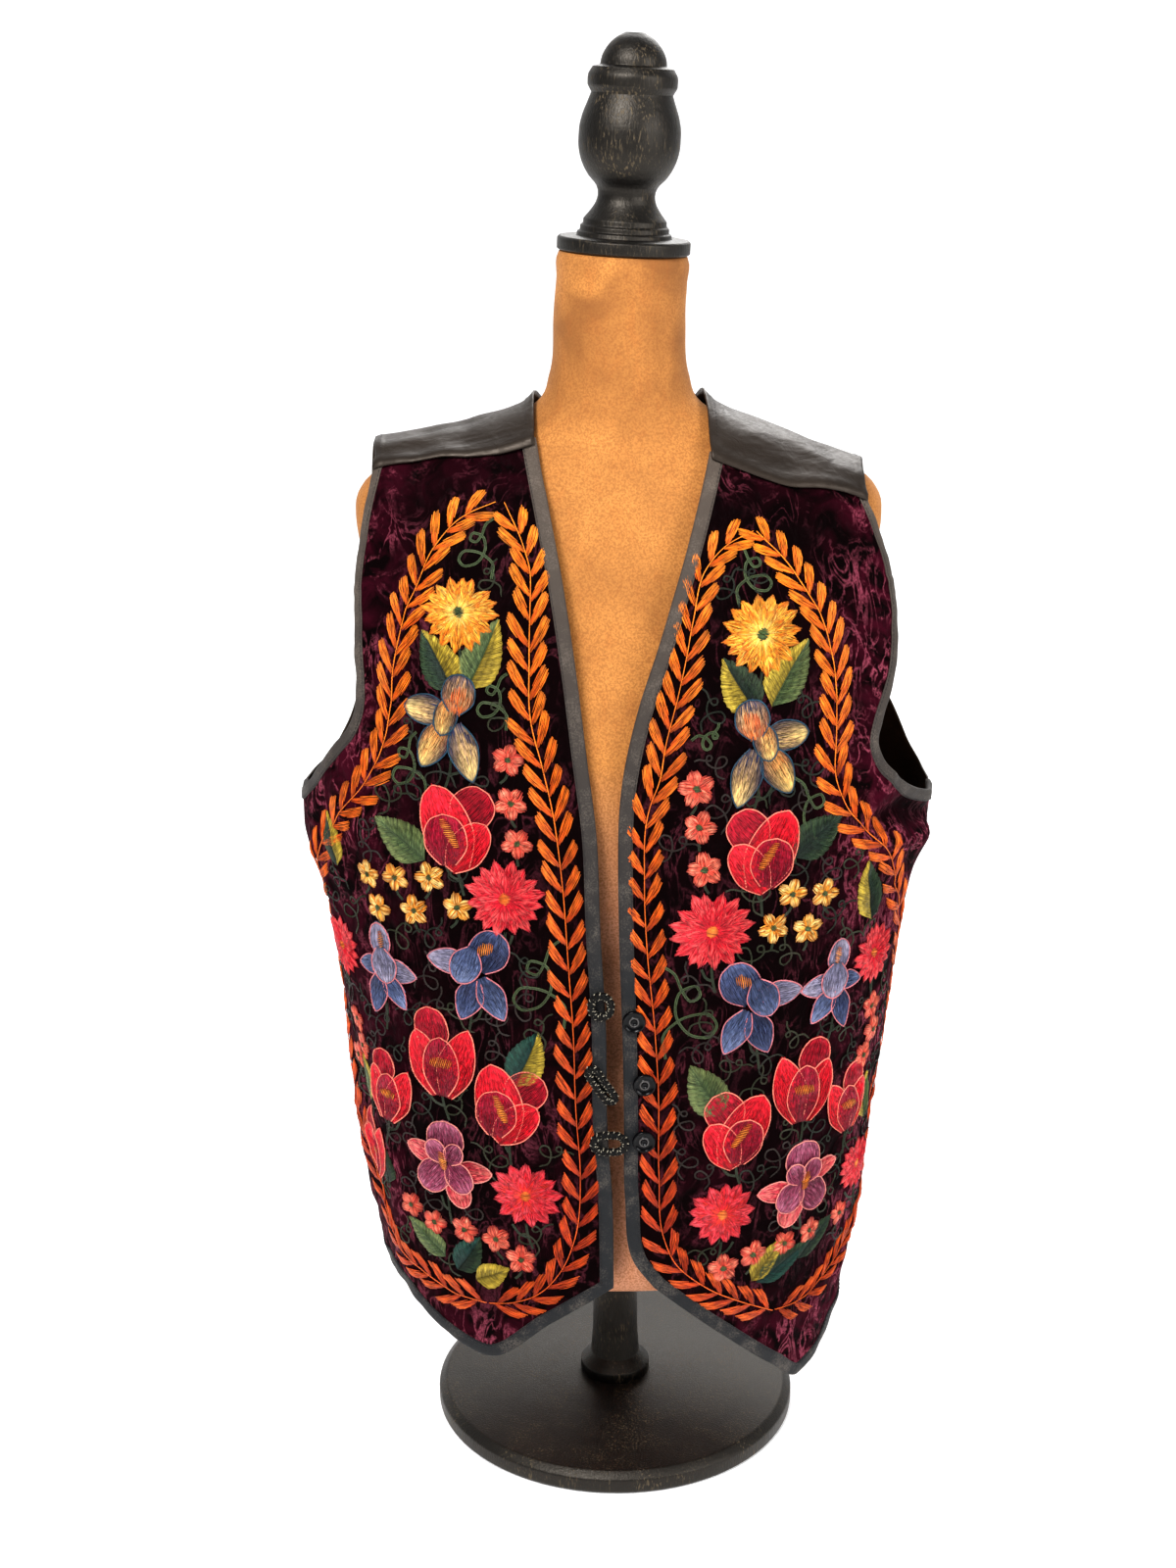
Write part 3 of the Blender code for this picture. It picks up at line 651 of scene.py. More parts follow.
class Loom:
    """Geometry Nodes tree that turns lines of spots into round threads."""

    def __init__(self, name: str) -> None:
        """Build the tree once.

        Args:
            name: Name of the node group.
        """
        tree = bpy.data.node_groups.new(name, "GeometryNodeTree")
        socket = tree.interface.new_socket
        self.inputs = {title: socket(title, in_out="INPUT", socket_type="NodeSocket" + kind)
            for title, kind in (("Lines", "Geometry"), ("Thread Sides", "Int"),
            ("Unevenness", "Float"), ("Seed", "Int"), ("Finish", "Material"))}
        socket("Threads", in_out="OUTPUT", socket_type="NodeSocketGeometry")
        add = tree.nodes.new
        take, give, lines, ring, girth, chance, tube, smooth, real, dress = (add(kind)
            for kind in ("NodeGroupInput", "NodeGroupOutput", "GeometryNodeMeshToCurve",
            "GeometryNodeCurvePrimitiveCircle", "GeometryNodeInputNamedAttribute",
            "FunctionNodeRandomValue", "GeometryNodeCurveToMesh", "GeometryNodeSetShadeSmooth",
            "GeometryNodeRealizeInstances", "GeometryNodeSetMaterial"))
        least, most, uneven = (add("ShaderNodeMath") for _ in range(3))
        for node, kind in ((least, "SUBTRACT"), (most, "ADD"), (uneven, "MULTIPLY")):
            node.operation = kind
            node.inputs[0].default_value = 1.0
        ring.inputs["Radius"].default_value = 1.0
        girth.data_type = chance.data_type = "FLOAT"
        girth.inputs["Name"].default_value = "girth"
        tube.inputs["Fill Caps"].default_value = True
        for source, out, target, into in ((take, "Lines", lines, "Mesh"),
                (take, "Thread Sides", ring, "Resolution"), (take, "Unevenness", least, 1),
                (take, "Unevenness", most, 1), (least, 0, chance, 2), (most, 0, chance, 3),
                (take, "Seed", chance, "Seed"), (girth, "Attribute", uneven, 0),
                (chance, 1, uneven, 1), (lines, "Curve", tube, "Curve"),
                (ring, "Curve", tube, "Profile Curve"), (uneven, 0, tube, "Scale"),
                (tube, "Mesh", smooth, "Geometry"), (smooth, "Geometry", real, "Geometry"),
                (real, "Geometry", dress, "Geometry"), (take, "Finish", dress, "Material"),
                (dress, "Geometry", give, "Threads")):
            tree.links.new(source.outputs[out], target.inputs[into])
        self.tree = tree

    def weave(self, name: str, points: Array, edges: Array, girth: Array, colours: Array,
            finish: Material, sides: int = 3) -> Piece:
        """Make threads along lines.

        Args:
            name: Piece name.
            points: Spots in millimetres.
            edges: Pairs of spots that each line joins.
            girth: Thread radius at each spot, in millimetres.
            colours: Linear colour at each spot.
            finish: Thread material.
            sides: Sides of each thread.

        Returns:
            Plain mesh object.
        """
        mesh = bpy.data.meshes.new(name + "_lines")
        mesh.vertices.add(len(points))
        mesh.vertices.foreach_set("co", (points * MM).astype(np.float32).ravel())
        mesh.edges.add(len(edges))
        mesh.edges.foreach_set("vertices", np.asarray(edges, np.int32).ravel())
        mesh.attributes.new("girth", "FLOAT", "POINT").data.foreach_set("value",
            (girth * MM).astype(np.float32))
        full = np.hstack([colours, np.ones((len(colours), 1))]).astype(np.float32)
        mesh.attributes.new("thread_color", "FLOAT_COLOR", "POINT").data.foreach_set("color",
            full.ravel())
        lines = bpy.data.objects.new(name + "_lines", mesh)
        bpy.context.scene.collection.objects.link(lines)
        work = lines.modifiers.new("loom", "NODES")
        work.node_group = self.tree
        for title, value in (("Thread Sides", sides), ("Unevenness", 0.08), ("Seed", 7),
                ("Finish", finish)):
            work[self.inputs[title].identifier] = value
        graph = bpy.context.evaluated_depsgraph_get()
        woven = bpy.data.meshes.new_from_object(lines.evaluated_get(graph))
        lines.modifiers.remove(work)
        bpy.data.objects.remove(lines)
        woven.name = name
        piece = bpy.data.objects.new(name, woven)
        bpy.context.scene.collection.objects.link(piece)
        LOG.info("%s: %d threads, %d faces", name, len(points) - len(edges), len(woven.polygons))
        return piece


@dataclass(frozen=True)
class Silk:
    """Thread colours of a filled shape, from its root to its tip."""

    root: Colour
    middle: Colour
    tip: Colour
    rim: Colour | None = None
    rim_share: float = 0.0
    streak: float = 0.18
    stitch: float = 6.0
    lean: float = 0.0

    def shade(self, place: Array, side: Array, rng: np.random.Generator) -> Array:
        """Colour of each stitch end, with painted shade at the ends and a painted highlight in the
        middle.

        Args:
            place: (n, 3) places from root, 0, to tip, 1.
            side: (n, 1) sideways places from -1 to 1.
            rng: Source of streaks.

        Returns:
            (n, 3, 3) linear colours.
        """
        at = np.clip(place + rng.normal(0, self.streak, (len(place), 1)), 0, 1)[..., None]
        root, middle, tip = (np.array(c) for c in (self.root, self.middle, self.tip))
        low = root + (middle - root) * np.clip(at * 2, 0, 1)
        mixed = np.where(at < 0.5, low, middle + (tip - middle) * np.clip(at * 2 - 1, 0, 1))
        if self.rim is not None:
            edge = np.maximum(np.abs(side) ** 3, np.clip(place - 0.86, 0, 1) * 7)
            edge = np.maximum(edge, np.clip(self.lean * side + 0.1, 0, 1))[..., None]
            mixed = mixed + (np.array(self.rim) - mixed) * np.clip(edge * self.rim_share, 0, 1)
        # Painted shade where the thread dips into the cloth, painted highlight on its crown.
        ends = np.array([0.66, 1.1, 0.74])[None, :, None]
        return mixed * rng.normal(0.97, 0.2, (len(place), 1, 1)).clip(0.5, 1.45) * ends


def silk(*levels: Sequence[float], **more: float | Colour) -> Silk:
    """Silk from one to three display colours, root first.

    Args:
        levels: Root, middle and tip colours, 0 to 255.
        more: Other fields of the silk.

    Returns:
        The silk.
    """
    given = [linear(*level) for level in levels]
    while len(given) < 3:
        given.append(given[-1])
    return Silk(given[0], given[1], given[2], **more)


@dataclass(frozen=True)
class Lobe:
    """Outline of a petal or blade along its own axis."""

    length: float
    widths: tuple[float, ...]
    bend: float = 0.0
    fan: float = 0.55
    slant: float = 0.0
    dome: float = 0.55

    def half_widths(self, place: Array) -> Array:
        """Half width at each place from root, 0, to tip, 1.

        Args:
            place: Places to read.

        Returns:
            Half widths in millimetres.
        """
        levels = np.linspace(0, 1, len(self.widths))
        table = np.column_stack([levels, self.widths])
        return np.maximum(smooth_table(table, place)[..., 0], 0.05)

    def outline(self) -> Array:
        """Spots round the lobe, from the root over the tip and back.

        Returns:
            (n, 2) spots in the lobe's own frame.
        """
        place = np.sin(np.linspace(0, math.pi / 2, 34))
        half = self.half_widths(place)
        sag = self.bend * place**2
        far = place * self.length
        up = np.column_stack([far * (1 + self.slant * half / max(self.widths)), sag + half])
        down = np.column_stack([far * (1 - self.slant * half / max(self.widths)), sag - half])
        return np.vstack([up, down[::-1]])


@dataclass(frozen=True)
class Placing:
    """Where a motif lies on the cloth, how it is turned and its size."""

    across: float
    up: float
    turn: float = 0.0
    size: float = 1.0
    flip: int = 1

    def spots(self, x: Array, y: Array) -> Array:
        """Move motif spots on to the cloth, as across and up.

        Args:
            x: Along the motif.
            y: Across the motif.

        Returns:
            Across and up of each spot.
        """
        turn = math.radians(self.turn)
        c, s = math.cos(turn) * self.size, math.sin(turn) * self.size
        return np.stack([self.flip * (x * c - y * s) + self.across, x * s + y * c + self.up], -1)

    def turned(self, root: Spot, heading: float, x: Array, y: Array) -> Array:
        """Spots of a petal in its own frame, moved on to the cloth.

        Args:
            root: Foot of the petal.
            heading: Way that it points, in degrees.
            x: Along the petal.
            y: Across the petal.

        Returns:
            Across and up of each spot.
        """
        turn = math.radians(heading)
        cos, sin = math.cos(turn), math.sin(turn)
        return self.spots(root[0] + x * cos - y * sin, root[1] + x * sin + y * cos)


@dataclass(frozen=True)
class Petal:
    """One filled petal of a motif: its root, heading and outline."""

    root: Spot
    heading: float
    lobe: Lobe
    silk: Silk
    edge: Colour | None = None


class Needle:
    """Lays silk stitches on one cloth face until they are woven."""

    PITCH = 0.92
    GIRTH = 0.54
    END_GIRTH = 0.72
    HAND = 0.38
    LAP = 0.7
    SEAM_GAP = 3.0
    STEM_LAP = 1.45

    def __init__(self, drape: Drape, seed: int) -> None:
        """Start with no stitches.

        Args:
            drape: Face to sew on.
            seed: Fixed seed of the uneven hand.
        """
        self.drape = drape
        self.rng = np.random.default_rng(seed)
        self.laid: list[tuple[Array, ...]] = []

    def lay(self, spots: Array, lifts: Array, girth: float, colours: Array) -> None:
        """Keep stitches of three spots each.

        Args:
            spots: (n, 3, 2) spots on the cloth.
            lifts: (n, 3) heights above it.
            girth: Thread radius.
            colours: (n, 3, 3) linear colours.
        """
        radius = np.full(lifts.shape, girth)
        radius[:, 0] *= self.END_GIRTH
        radius[:, 2] *= self.END_GIRTH
        self.laid.append((spots, lifts, radius, colours))

    def petal(self, petal: Petal, on: Placing, layer: float) -> None:
        """Fill a petal with long and short stitches and edge it.

        Args:
            petal: Petal in the motif's own frame.
            on: Where the motif lies.
            layer: Height of the petal's foot above the cloth.
        """
        lobe, rng = petal.lobe, self.rng
        place = np.linspace(0, 1, 61)
        width = lobe.half_widths(place)
        top = float(width.max())
        narrow = (1 - lobe.fan) + lobe.fan * width / top
        columns = max(3, round(2 * top * on.size / self.PITCH))
        rows = []
        for side in (np.arange(columns) + 0.5) / columns * 2 - 1:
            inside = np.abs(side * top * narrow) <= width
            if inside.sum() < 3:
                continue
            first, last = place[inside][[0, -1]]
            last *= 1 + lobe.slant * side
            pieces = max(1, round((last - first) * lobe.length * on.size / petal.silk.stitch))
            cuts = np.linspace(first, last, pieces + 1)
            step = (last - first) / pieces
            cuts[1:-1] += rng.uniform(-self.HAND, self.HAND, pieces - 1) * step
            cuts[[0, -1]] += rng.normal(0, 0.35, 2) / lobe.length
            lap = self.LAP / lobe.length
            rows += [(a - lap, b + lap, side) for a, b in zip(cuts[:-1], cuts[1:])]
        if not rows:
            return
        table = np.array(rows)
        at = np.stack([table[:, 0], table[:, :2].mean(1), table[:, 1]], 1)
        side = table[:, 2:]
        x = at * lobe.length
        y = side * top * np.interp(at, place, narrow) + lobe.bend * at**2
        y = y + rng.normal(0, 0.10, (len(at), 1))
        crown = np.array([0.0, 0.34, 0.0])
        arch = np.sin(np.pi * np.clip(at, 0, 1)) * 0.5 + 0.5
        lifts = layer + lobe.dome * np.sqrt(np.clip(1 - side**2, 0, 1)) * arch + crown
        spots = on.turned(petal.root, petal.heading, x, y)
        self.lay(spots, lifts, self.GIRTH, petal.silk.shade(at, side, rng))
        if petal.edge is not None:
            rim = lobe.outline()
            path = on.turned(petal.root, petal.heading, rim[:, 0], rim[:, 1])
            self.line(path, 1, petal.edge, layer + 0.6, girth=0.58)

    def line(self, path: Array, rows: int, colour: Colour, layer: float, girth: float = 0.45,
            pitch: float = 2.3) -> None:
        """Sew rows of stem stitch along a path.

        Args:
            path: Spots on the cloth.
            rows: Rows side by side.
            colour: Linear thread colour.
            layer: Height above the cloth.
            girth: Thread radius.
            pitch: Step from stitch to stitch.
        """
        total = running(path)[-1]
        if total < pitch:
            return
        dense = spaced(path, np.linspace(0, total, max(8, int(total / 0.8))))
        away = across_unit(dense)
        run = running(dense)
        for row in range(rows):
            shift = (row - (rows - 1) / 2) * girth * self.STEM_LAP
            side = dense + away * shift
            start = np.arange(0, total - pitch * 0.5, pitch) + (row % 2) * pitch / 2
            places = start[:, None] + np.array([0.0, 0.5, 1.0]) * pitch * self.STEM_LAP
            places = np.clip(places, 0, total)
            spots = np.stack([np.interp(places, run, side[:, k]) for k in (0, 1)], -1)
            spots[:, 0] += np.array([0.14, 0.10])
            lifts = layer + np.array([0.0, 0.3, 0.0]) + np.zeros((len(start), 1))
            tone = self.rng.normal(1.0, 0.12, (len(start), 1, 1)).clip(0.65, 1.35)
            self.lay(spots, lifts, girth, np.array(colour) * tone * np.ones((1, 3, 1)))

    def leaf(self, on: Placing, length: float, half: float, bend: float, silks: tuple[Silk, Silk],
            layer: float = 0.2) -> None:
        """Fill a toothed leaf with slanting satin stitch either side of its rib.

        Args:
            on: Place and heading of the leaf's root.
            length: Length of the rib.
            half: Widest half.
            bend: Sideways sag of the tip.
            silks: Threads of the left and right halves.
            layer: Height above the cloth.
        """
        rng = self.rng
        shape = Lobe(length, (0.22 * half, 0.86 * half, half, 0.84 * half, 0.5 * half, 0.04))
        count = int(length * on.size / 0.72)
        foot = (np.arange(count) + 0.5) / count
        for side, thread in zip((1, -1), silks):
            head = np.clip(foot + 0.17, 0, 1)
            tooth = 0.06 * half * (1 - np.abs(((head * length / 4.6) % 1) * 2 - 1))
            reach = shape.half_widths(head) + tooth + rng.normal(0, 0.12, count)
            start = np.column_stack([foot * length, bend * foot**2])
            end = np.column_stack([head * length, bend * head**2 + side * reach])
            rows = []
            for a, b in zip(start, end):
                size = float(np.linalg.norm(b - a)) * on.size
                pieces = max(1, round(size / thread.stitch))
                cuts = np.linspace(0, 1, pieces + 1)
                cuts[1:-1] += rng.uniform(-0.3, 0.3, pieces - 1) / pieces
                for p, q in zip(cuts[:-1], cuts[1:]):
                    rows.append((*(a + (b - a) * (p - 0.04)), *(a + (b - a) * (q + 0.04)), p, q))
            table = np.array(rows)
            ends = table[:, :4].reshape(-1, 2, 2)
            three = np.stack([ends[:, 0], ends.mean(1), ends[:, 1]], 1)
            share = np.stack([table[:, 4], table[:, 4:].mean(1), table[:, 5]], 1)
            lifts = layer + 0.5 * np.sin(np.pi * share.clip(0, 1)) + np.array([0, 0.25, 0])
            spots = on.spots(three[..., 0], three[..., 1])
            self.lay(spots, lifts, self.GIRTH, thread.shade(share, share[:, :1] * 0, rng))
        rib = np.linspace(0.02, 0.96, 20)
        path = on.spots(rib * length, bend * rib**2)
        self.line(path, 1, silks[0].root, layer + 0.35, girth=0.4)

    def disc(self, on: Placing, radius: float, thread: Silk, layer: float) -> None:
        """Fill a small round eye with short crossing stitches.

        Args:
            on: Where the motif lies.
            radius: Radius of the eye.
            thread: Its silk.
            layer: Height above the cloth.
        """
        lobe = Lobe(2 * radius, tuple(radius * math.sin(math.pi * k / 8) for k in range(9)),
            fan=0.0, dome=0.9)
        self.petal(Petal((-radius, 0), 0, lobe, thread), on, layer)

    def bars(self, on: Placing, root: Spot, heading: float, size: Spot, thread: Silk,
            layer: float) -> None:
        """Sew a ladder of short stripes across a petal's heart.

        Args:
            on: Where the motif lies.
            root: Middle of the ladder in the motif's frame.
            heading: Way in which the stripes follow one another.
            size: Length of the ladder and of a stripe.
            thread: Stripe silk.
            layer: Height above the cloth.
        """
        count = max(3, int(size[0] * on.size / 1.25))
        along = np.linspace(-size[0] / 2, size[0] / 2, count)
        taper = np.sqrt(np.clip(1 - (2 * along / size[0]) ** 2 * 0.6, 0.2, 1))
        half = size[1] / 2 * taper * self.rng.uniform(0.8, 1.15, count)
        y = half[:, None] * np.array([-1.0, 0.0, 1.0])
        x = along[:, None] + y * 0.35
        spots = on.turned(root, heading, x, y)
        lifts = layer + np.array([0, 0.3, 0]) + np.zeros((count, 1))
        share = np.linspace(0, 1, count)[:, None] * np.ones((1, 3))
        self.lay(spots, lifts, 0.42, thread.shade(share, share[:, :1] * 0, self.rng))

    def weave(self, name: str, loom: Loom, finish: Material) -> Piece:
        """Turn the kept stitches into one piece and start afresh.

        Args:
            name: Piece name.
            loom: Thread maker.
            finish: Thread material.

        Returns:
            The embroidered piece.
        """
        spots, lifts, radius, colours = (np.concatenate(part) for part in zip(*self.laid))
        self.laid = []
        seam = np.interp(spots[..., 1], self.drape.up, self.drape.seam_across)
        keep = (np.abs(spots[..., 0]) < seam - self.SEAM_GAP).all(axis=1)
        spots, lifts, radius, colours = (part[keep] for part in (spots, lifts, radius, colours))
        place, out = self.drape.at(spots.reshape(-1, 2))
        points = place + out * lifts.reshape(-1, 1)
        start = np.arange(len(spots)) * 3
        edges = np.column_stack([start, start + 1, start + 1, start + 2]).reshape(-1, 2)
        return loom.weave(name, points, edges, radius.ravel(), colours.reshape(-1, 3), finish)


CRIMSON = silk((164, 4, 26), (214, 8, 36), (234, 34, 56), streak=0.25)
DEEP_CRIMSON = silk((126, 4, 28), (164, 8, 38), (192, 20, 48), streak=0.2)
MAGENTA_BUD = silk((120, 4, 32), (148, 6, 42), (168, 12, 50), streak=0.2)
PEACH_EDGE = linear(236, 132, 112)
SLATE_EDGE = linear(206, 122, 128)
TEAL_EDGE = linear(34, 72, 92)
STRIPE = silk((226, 128, 40), (236, 150, 58), (198, 96, 40), stitch=9)
SLATE = silk((58, 68, 100), (84, 98, 136), (118, 130, 164), streak=0.2)
DARK_SLATE = silk((44, 52, 84), (62, 74, 112), (86, 98, 136), streak=0.2)
PALE_SLATE = silk((104, 104, 128), (136, 132, 158), (158, 152, 172), streak=0.2)
NAVY = linear(24, 34, 68)
CREAM_TIP = silk((44, 52, 88), (226, 186, 128), (252, 222, 146), rim=NAVY, rim_share=1.0,
    streak=0.14, lean=-0.9)
CREAM_GOLD = silk((222, 136, 62), (228, 176, 108), (248, 214, 132), rim=NAVY, rim_share=1.0,
    streak=0.14, lean=0.9)
CREAM_HEART = silk((214, 108, 44), (226, 178, 124), (56, 66, 100), rim=NAVY, rim_share=0.9,
    streak=0.12, lean=0.7)
DAISY_SILK = silk((252, 216, 118), (248, 188, 66), (232, 126, 24), rim=linear(196, 104, 18),
    rim_share=0.7, streak=0.22)
ASTER_SILK = silk((190, 14, 38), (222, 28, 50), (242, 92, 92), rim=linear(142, 8, 32),
    rim_share=0.75, streak=0.25)
WARM_ASTER = silk((226, 62, 44), (220, 28, 50), (236, 80, 90), rim=linear(150, 12, 36),
    rim_share=0.75, streak=0.3)
CORAL_SILK = silk((214, 72, 56), (238, 112, 88), (248, 152, 122), rim=linear(170, 48, 40),
    rim_share=0.8, streak=0.3)
YELLOW_SILK = silk((214, 128, 28), (242, 184, 78), (252, 222, 146), rim=linear(196, 112, 24),
    rim_share=0.6, streak=0.5)
MAUVE = silk((112, 34, 62), (150, 62, 92), (176, 100, 126), streak=0.25)
ROSY = silk((186, 40, 62), (208, 72, 84), (232, 122, 114), streak=0.3)
EYE_GREEN = silk((50, 68, 40), (74, 92, 54))
EYE_ORANGE = silk((206, 92, 34), (232, 126, 48))
LEAF_DARK = silk((22, 38, 30), (34, 54, 38), (56, 76, 48), stitch=5.5)
LEAF_SAGE = silk((62, 80, 48), (88, 104, 62), (116, 128, 78), stitch=5.5)
LEAF_OLIVE = silk((112, 98, 28), (160, 138, 44), (202, 176, 66), stitch=5.5)
LEAF_TEAL = silk((14, 48, 44), (20, 62, 54), (34, 80, 66), stitch=5.5)
DIM_GREEN = linear(44, 54, 38)
SCROLL_TONES = (linear(30, 36, 26), linear(44, 36, 32), linear(46, 50, 32))
TENDRIL_GREEN = linear(82, 98, 64)


def petals(*rows: tuple[float, ...], silks: Sequence[Silk],
        edge: Colour | None) -> tuple[Petal, ...]:
    """Petals of a motif from plain rows.

    Args:
        rows: Root x, root y, heading, length, widest half, bluntness and silk.
        silks: Silks that the rows number.
        edge: Colour of the outline, if any.

    Returns:
        Petals, lowest first.
    """
    found = []
    for x, y, heading, length, half, blunt, number in rows:
        t = np.linspace(0, 1, 15)
        body = 0.34 + 0.66 * np.sin(np.clip(t / 0.44, 0, 1) * math.pi / 2)
        tip = (1 - np.clip((t - 0.4) / 0.6, 0, 1) ** (1.5 + 1.3 * blunt)) ** (0.85 - 0.33 * blunt)
        lobe = Lobe(length, tuple(float(w) for w in half * body * tip))
        found.append(Petal((x, y), heading, lobe, silks[int(number)], edge))
    return tuple(found)


ROSE_PETALS = petals((-1, 0, 44, 33, 15.0, 1.0, 1), (3, -32, 109, 62, 18.0, 0.7, 0),
    (-5, -32, 52, 42, 13.0, 0.8, 0), (-6, -29, 96, 36, 15.5, 1.0, 2),
    silks=(CRIMSON, DEEP_CRIMSON, MAGENTA_BUD), edge=PEACH_EDGE)
TULIP_PETALS = petals((-3, 2, 100, 32, 13.0, 1.0, 1), (-3, -31, 108, 49, 13.5, 0.4, 0),
    (4, -31, 71, 55, 13.5, 0.3, 0), (1, -31, 90, 44, 13.5, 0.75, 2),
    silks=(CRIMSON, DEEP_CRIMSON, MAGENTA_BUD), edge=PEACH_EDGE)
IRIS_ROWS = ((6, 0, 64, 33, 14.5, 0.85, 0), (-2, 4, 176, 31, 9.5, 0.3, 2),
    (4, -8, 248, 33, 10.5, 0.1, 0), (8, -6, 298, 34, 10.5, 0.1, 1), (2, 16, 246, 29, 11.5, 0.7, 1))
SLATE_PETALS = petals(*IRIS_ROWS, silks=(DARK_SLATE, SLATE, PALE_SLATE), edge=SLATE_EDGE)
PALE_PETALS = petals((0, 6, 82, 27, 9.5, 0.8, 2), (0, 0, 186, 30, 9.0, 0.2, 2),
    (2, 0, 352, 22, 7.5, 0.2, 1), (-2, -6, 232, 30, 8.5, 0.1, 1), (2, -6, 282, 33, 9.0, 0.1, 0),
    (0, 14, 262, 27, 11.5, 0.7, 2), silks=(DARK_SLATE, SLATE, PALE_SLATE), edge=SLATE_EDGE)
CREAM_PETALS = petals((-3, 3, 176, 32, 10.5, 0.6, 0), (-4, -4, 240, 37, 11.0, 0.3, 1),
    (4, -5, 286, 41, 11.0, 0.15, 0), (0, 13, 254, 27, 8.5, 0.7, 1), (3, 3, 78, 27, 12.0, 1.0, 2),
    silks=(CREAM_TIP, CREAM_GOLD, CREAM_HEART), edge=TEAL_EDGE)
PANSY_PETALS = petals((0, 4, 92, 30, 15.5, 1.0, 0), (-6, 2, 166, 29, 8.5, 0.5, 1),
    (8, -4, 4, 30, 8.5, 0.5, 1), (6, -8, 288, 28, 10.5, 0.8, 1), (-1, 0, 232, 31, 13.0, 0.9, 0),
    (3, 1, 306, 27, 11.5, 0.9, 0), (-3, 1, 122, 19, 8.5, 0.8, 0), (3, 1, 62, 18, 8.0, 0.8, 0),
    silks=(MAUVE, ROSY), edge=linear(226, 142, 132))


class Bloom(Enum):
    """Kinds of worked flower; the value is its petals, if it isn't a wheel."""

    ROSE = ROSE_PETALS
    TULIP = TULIP_PETALS
    SLATE_IRIS = SLATE_PETALS
    PALE_IRIS = PALE_PETALS
    CREAM_IRIS = CREAM_PETALS
    PANSY = PANSY_PETALS


# Striped heart of each flower: middle, heading, size, silk and height
HEARTS = {
    Bloom.ROSE: ((-5, -6), 118, (21, 6.5), STRIPE, 2.3),
    Bloom.TULIP: ((1, -6), 0, (15, 8.0), STRIPE, 2.3),
    Bloom.SLATE_IRIS: ((11, 17), 10, (10, 9.0), STRIPE, 2.2),
    Bloom.PALE_IRIS: ((0, 21), 80, (11, 5.5), STRIPE, 2.2),
    Bloom.CREAM_IRIS: ((6, 15), 10, (10, 12.0), silk((226, 98, 46), (236, 132, 76), stitch=9), 2.4),
    Bloom.PANSY: ((-2, 2), 96, (13, 7.0), STRIPE, 3.1),
}


@dataclass(frozen=True)
class Wheel:
    """Round flower of equal petals about an eye."""

    radius: float
    count: int
    half: float
    thread: Silk
    eye: Silk
    eye_radius: float
    inner: float = 0.0
    blunt: float = 0.0


DAISY = Wheel(26.5, 16, 5.0, DAISY_SILK, EYE_GREEN, 4.4, inner=0.66)
RED_ASTER = Wheel(27, 16, 5.1, ASTER_SILK, EYE_ORANGE, 4.4, inner=0.66)
CORAL_ASTER = Wheel(25, 13, 5.6, WARM_ASTER, EYE_ORANGE, 4.0, inner=0.6)
CORAL_BLOSSOM = Wheel(10.4, 5, 4.5, CORAL_SILK, EYE_GREEN, 1.9, blunt=0.9)
YELLOW_BLOSSOM = Wheel(10.2, 5, 4.1, YELLOW_SILK, EYE_GREEN, 1.8, blunt=0.9)


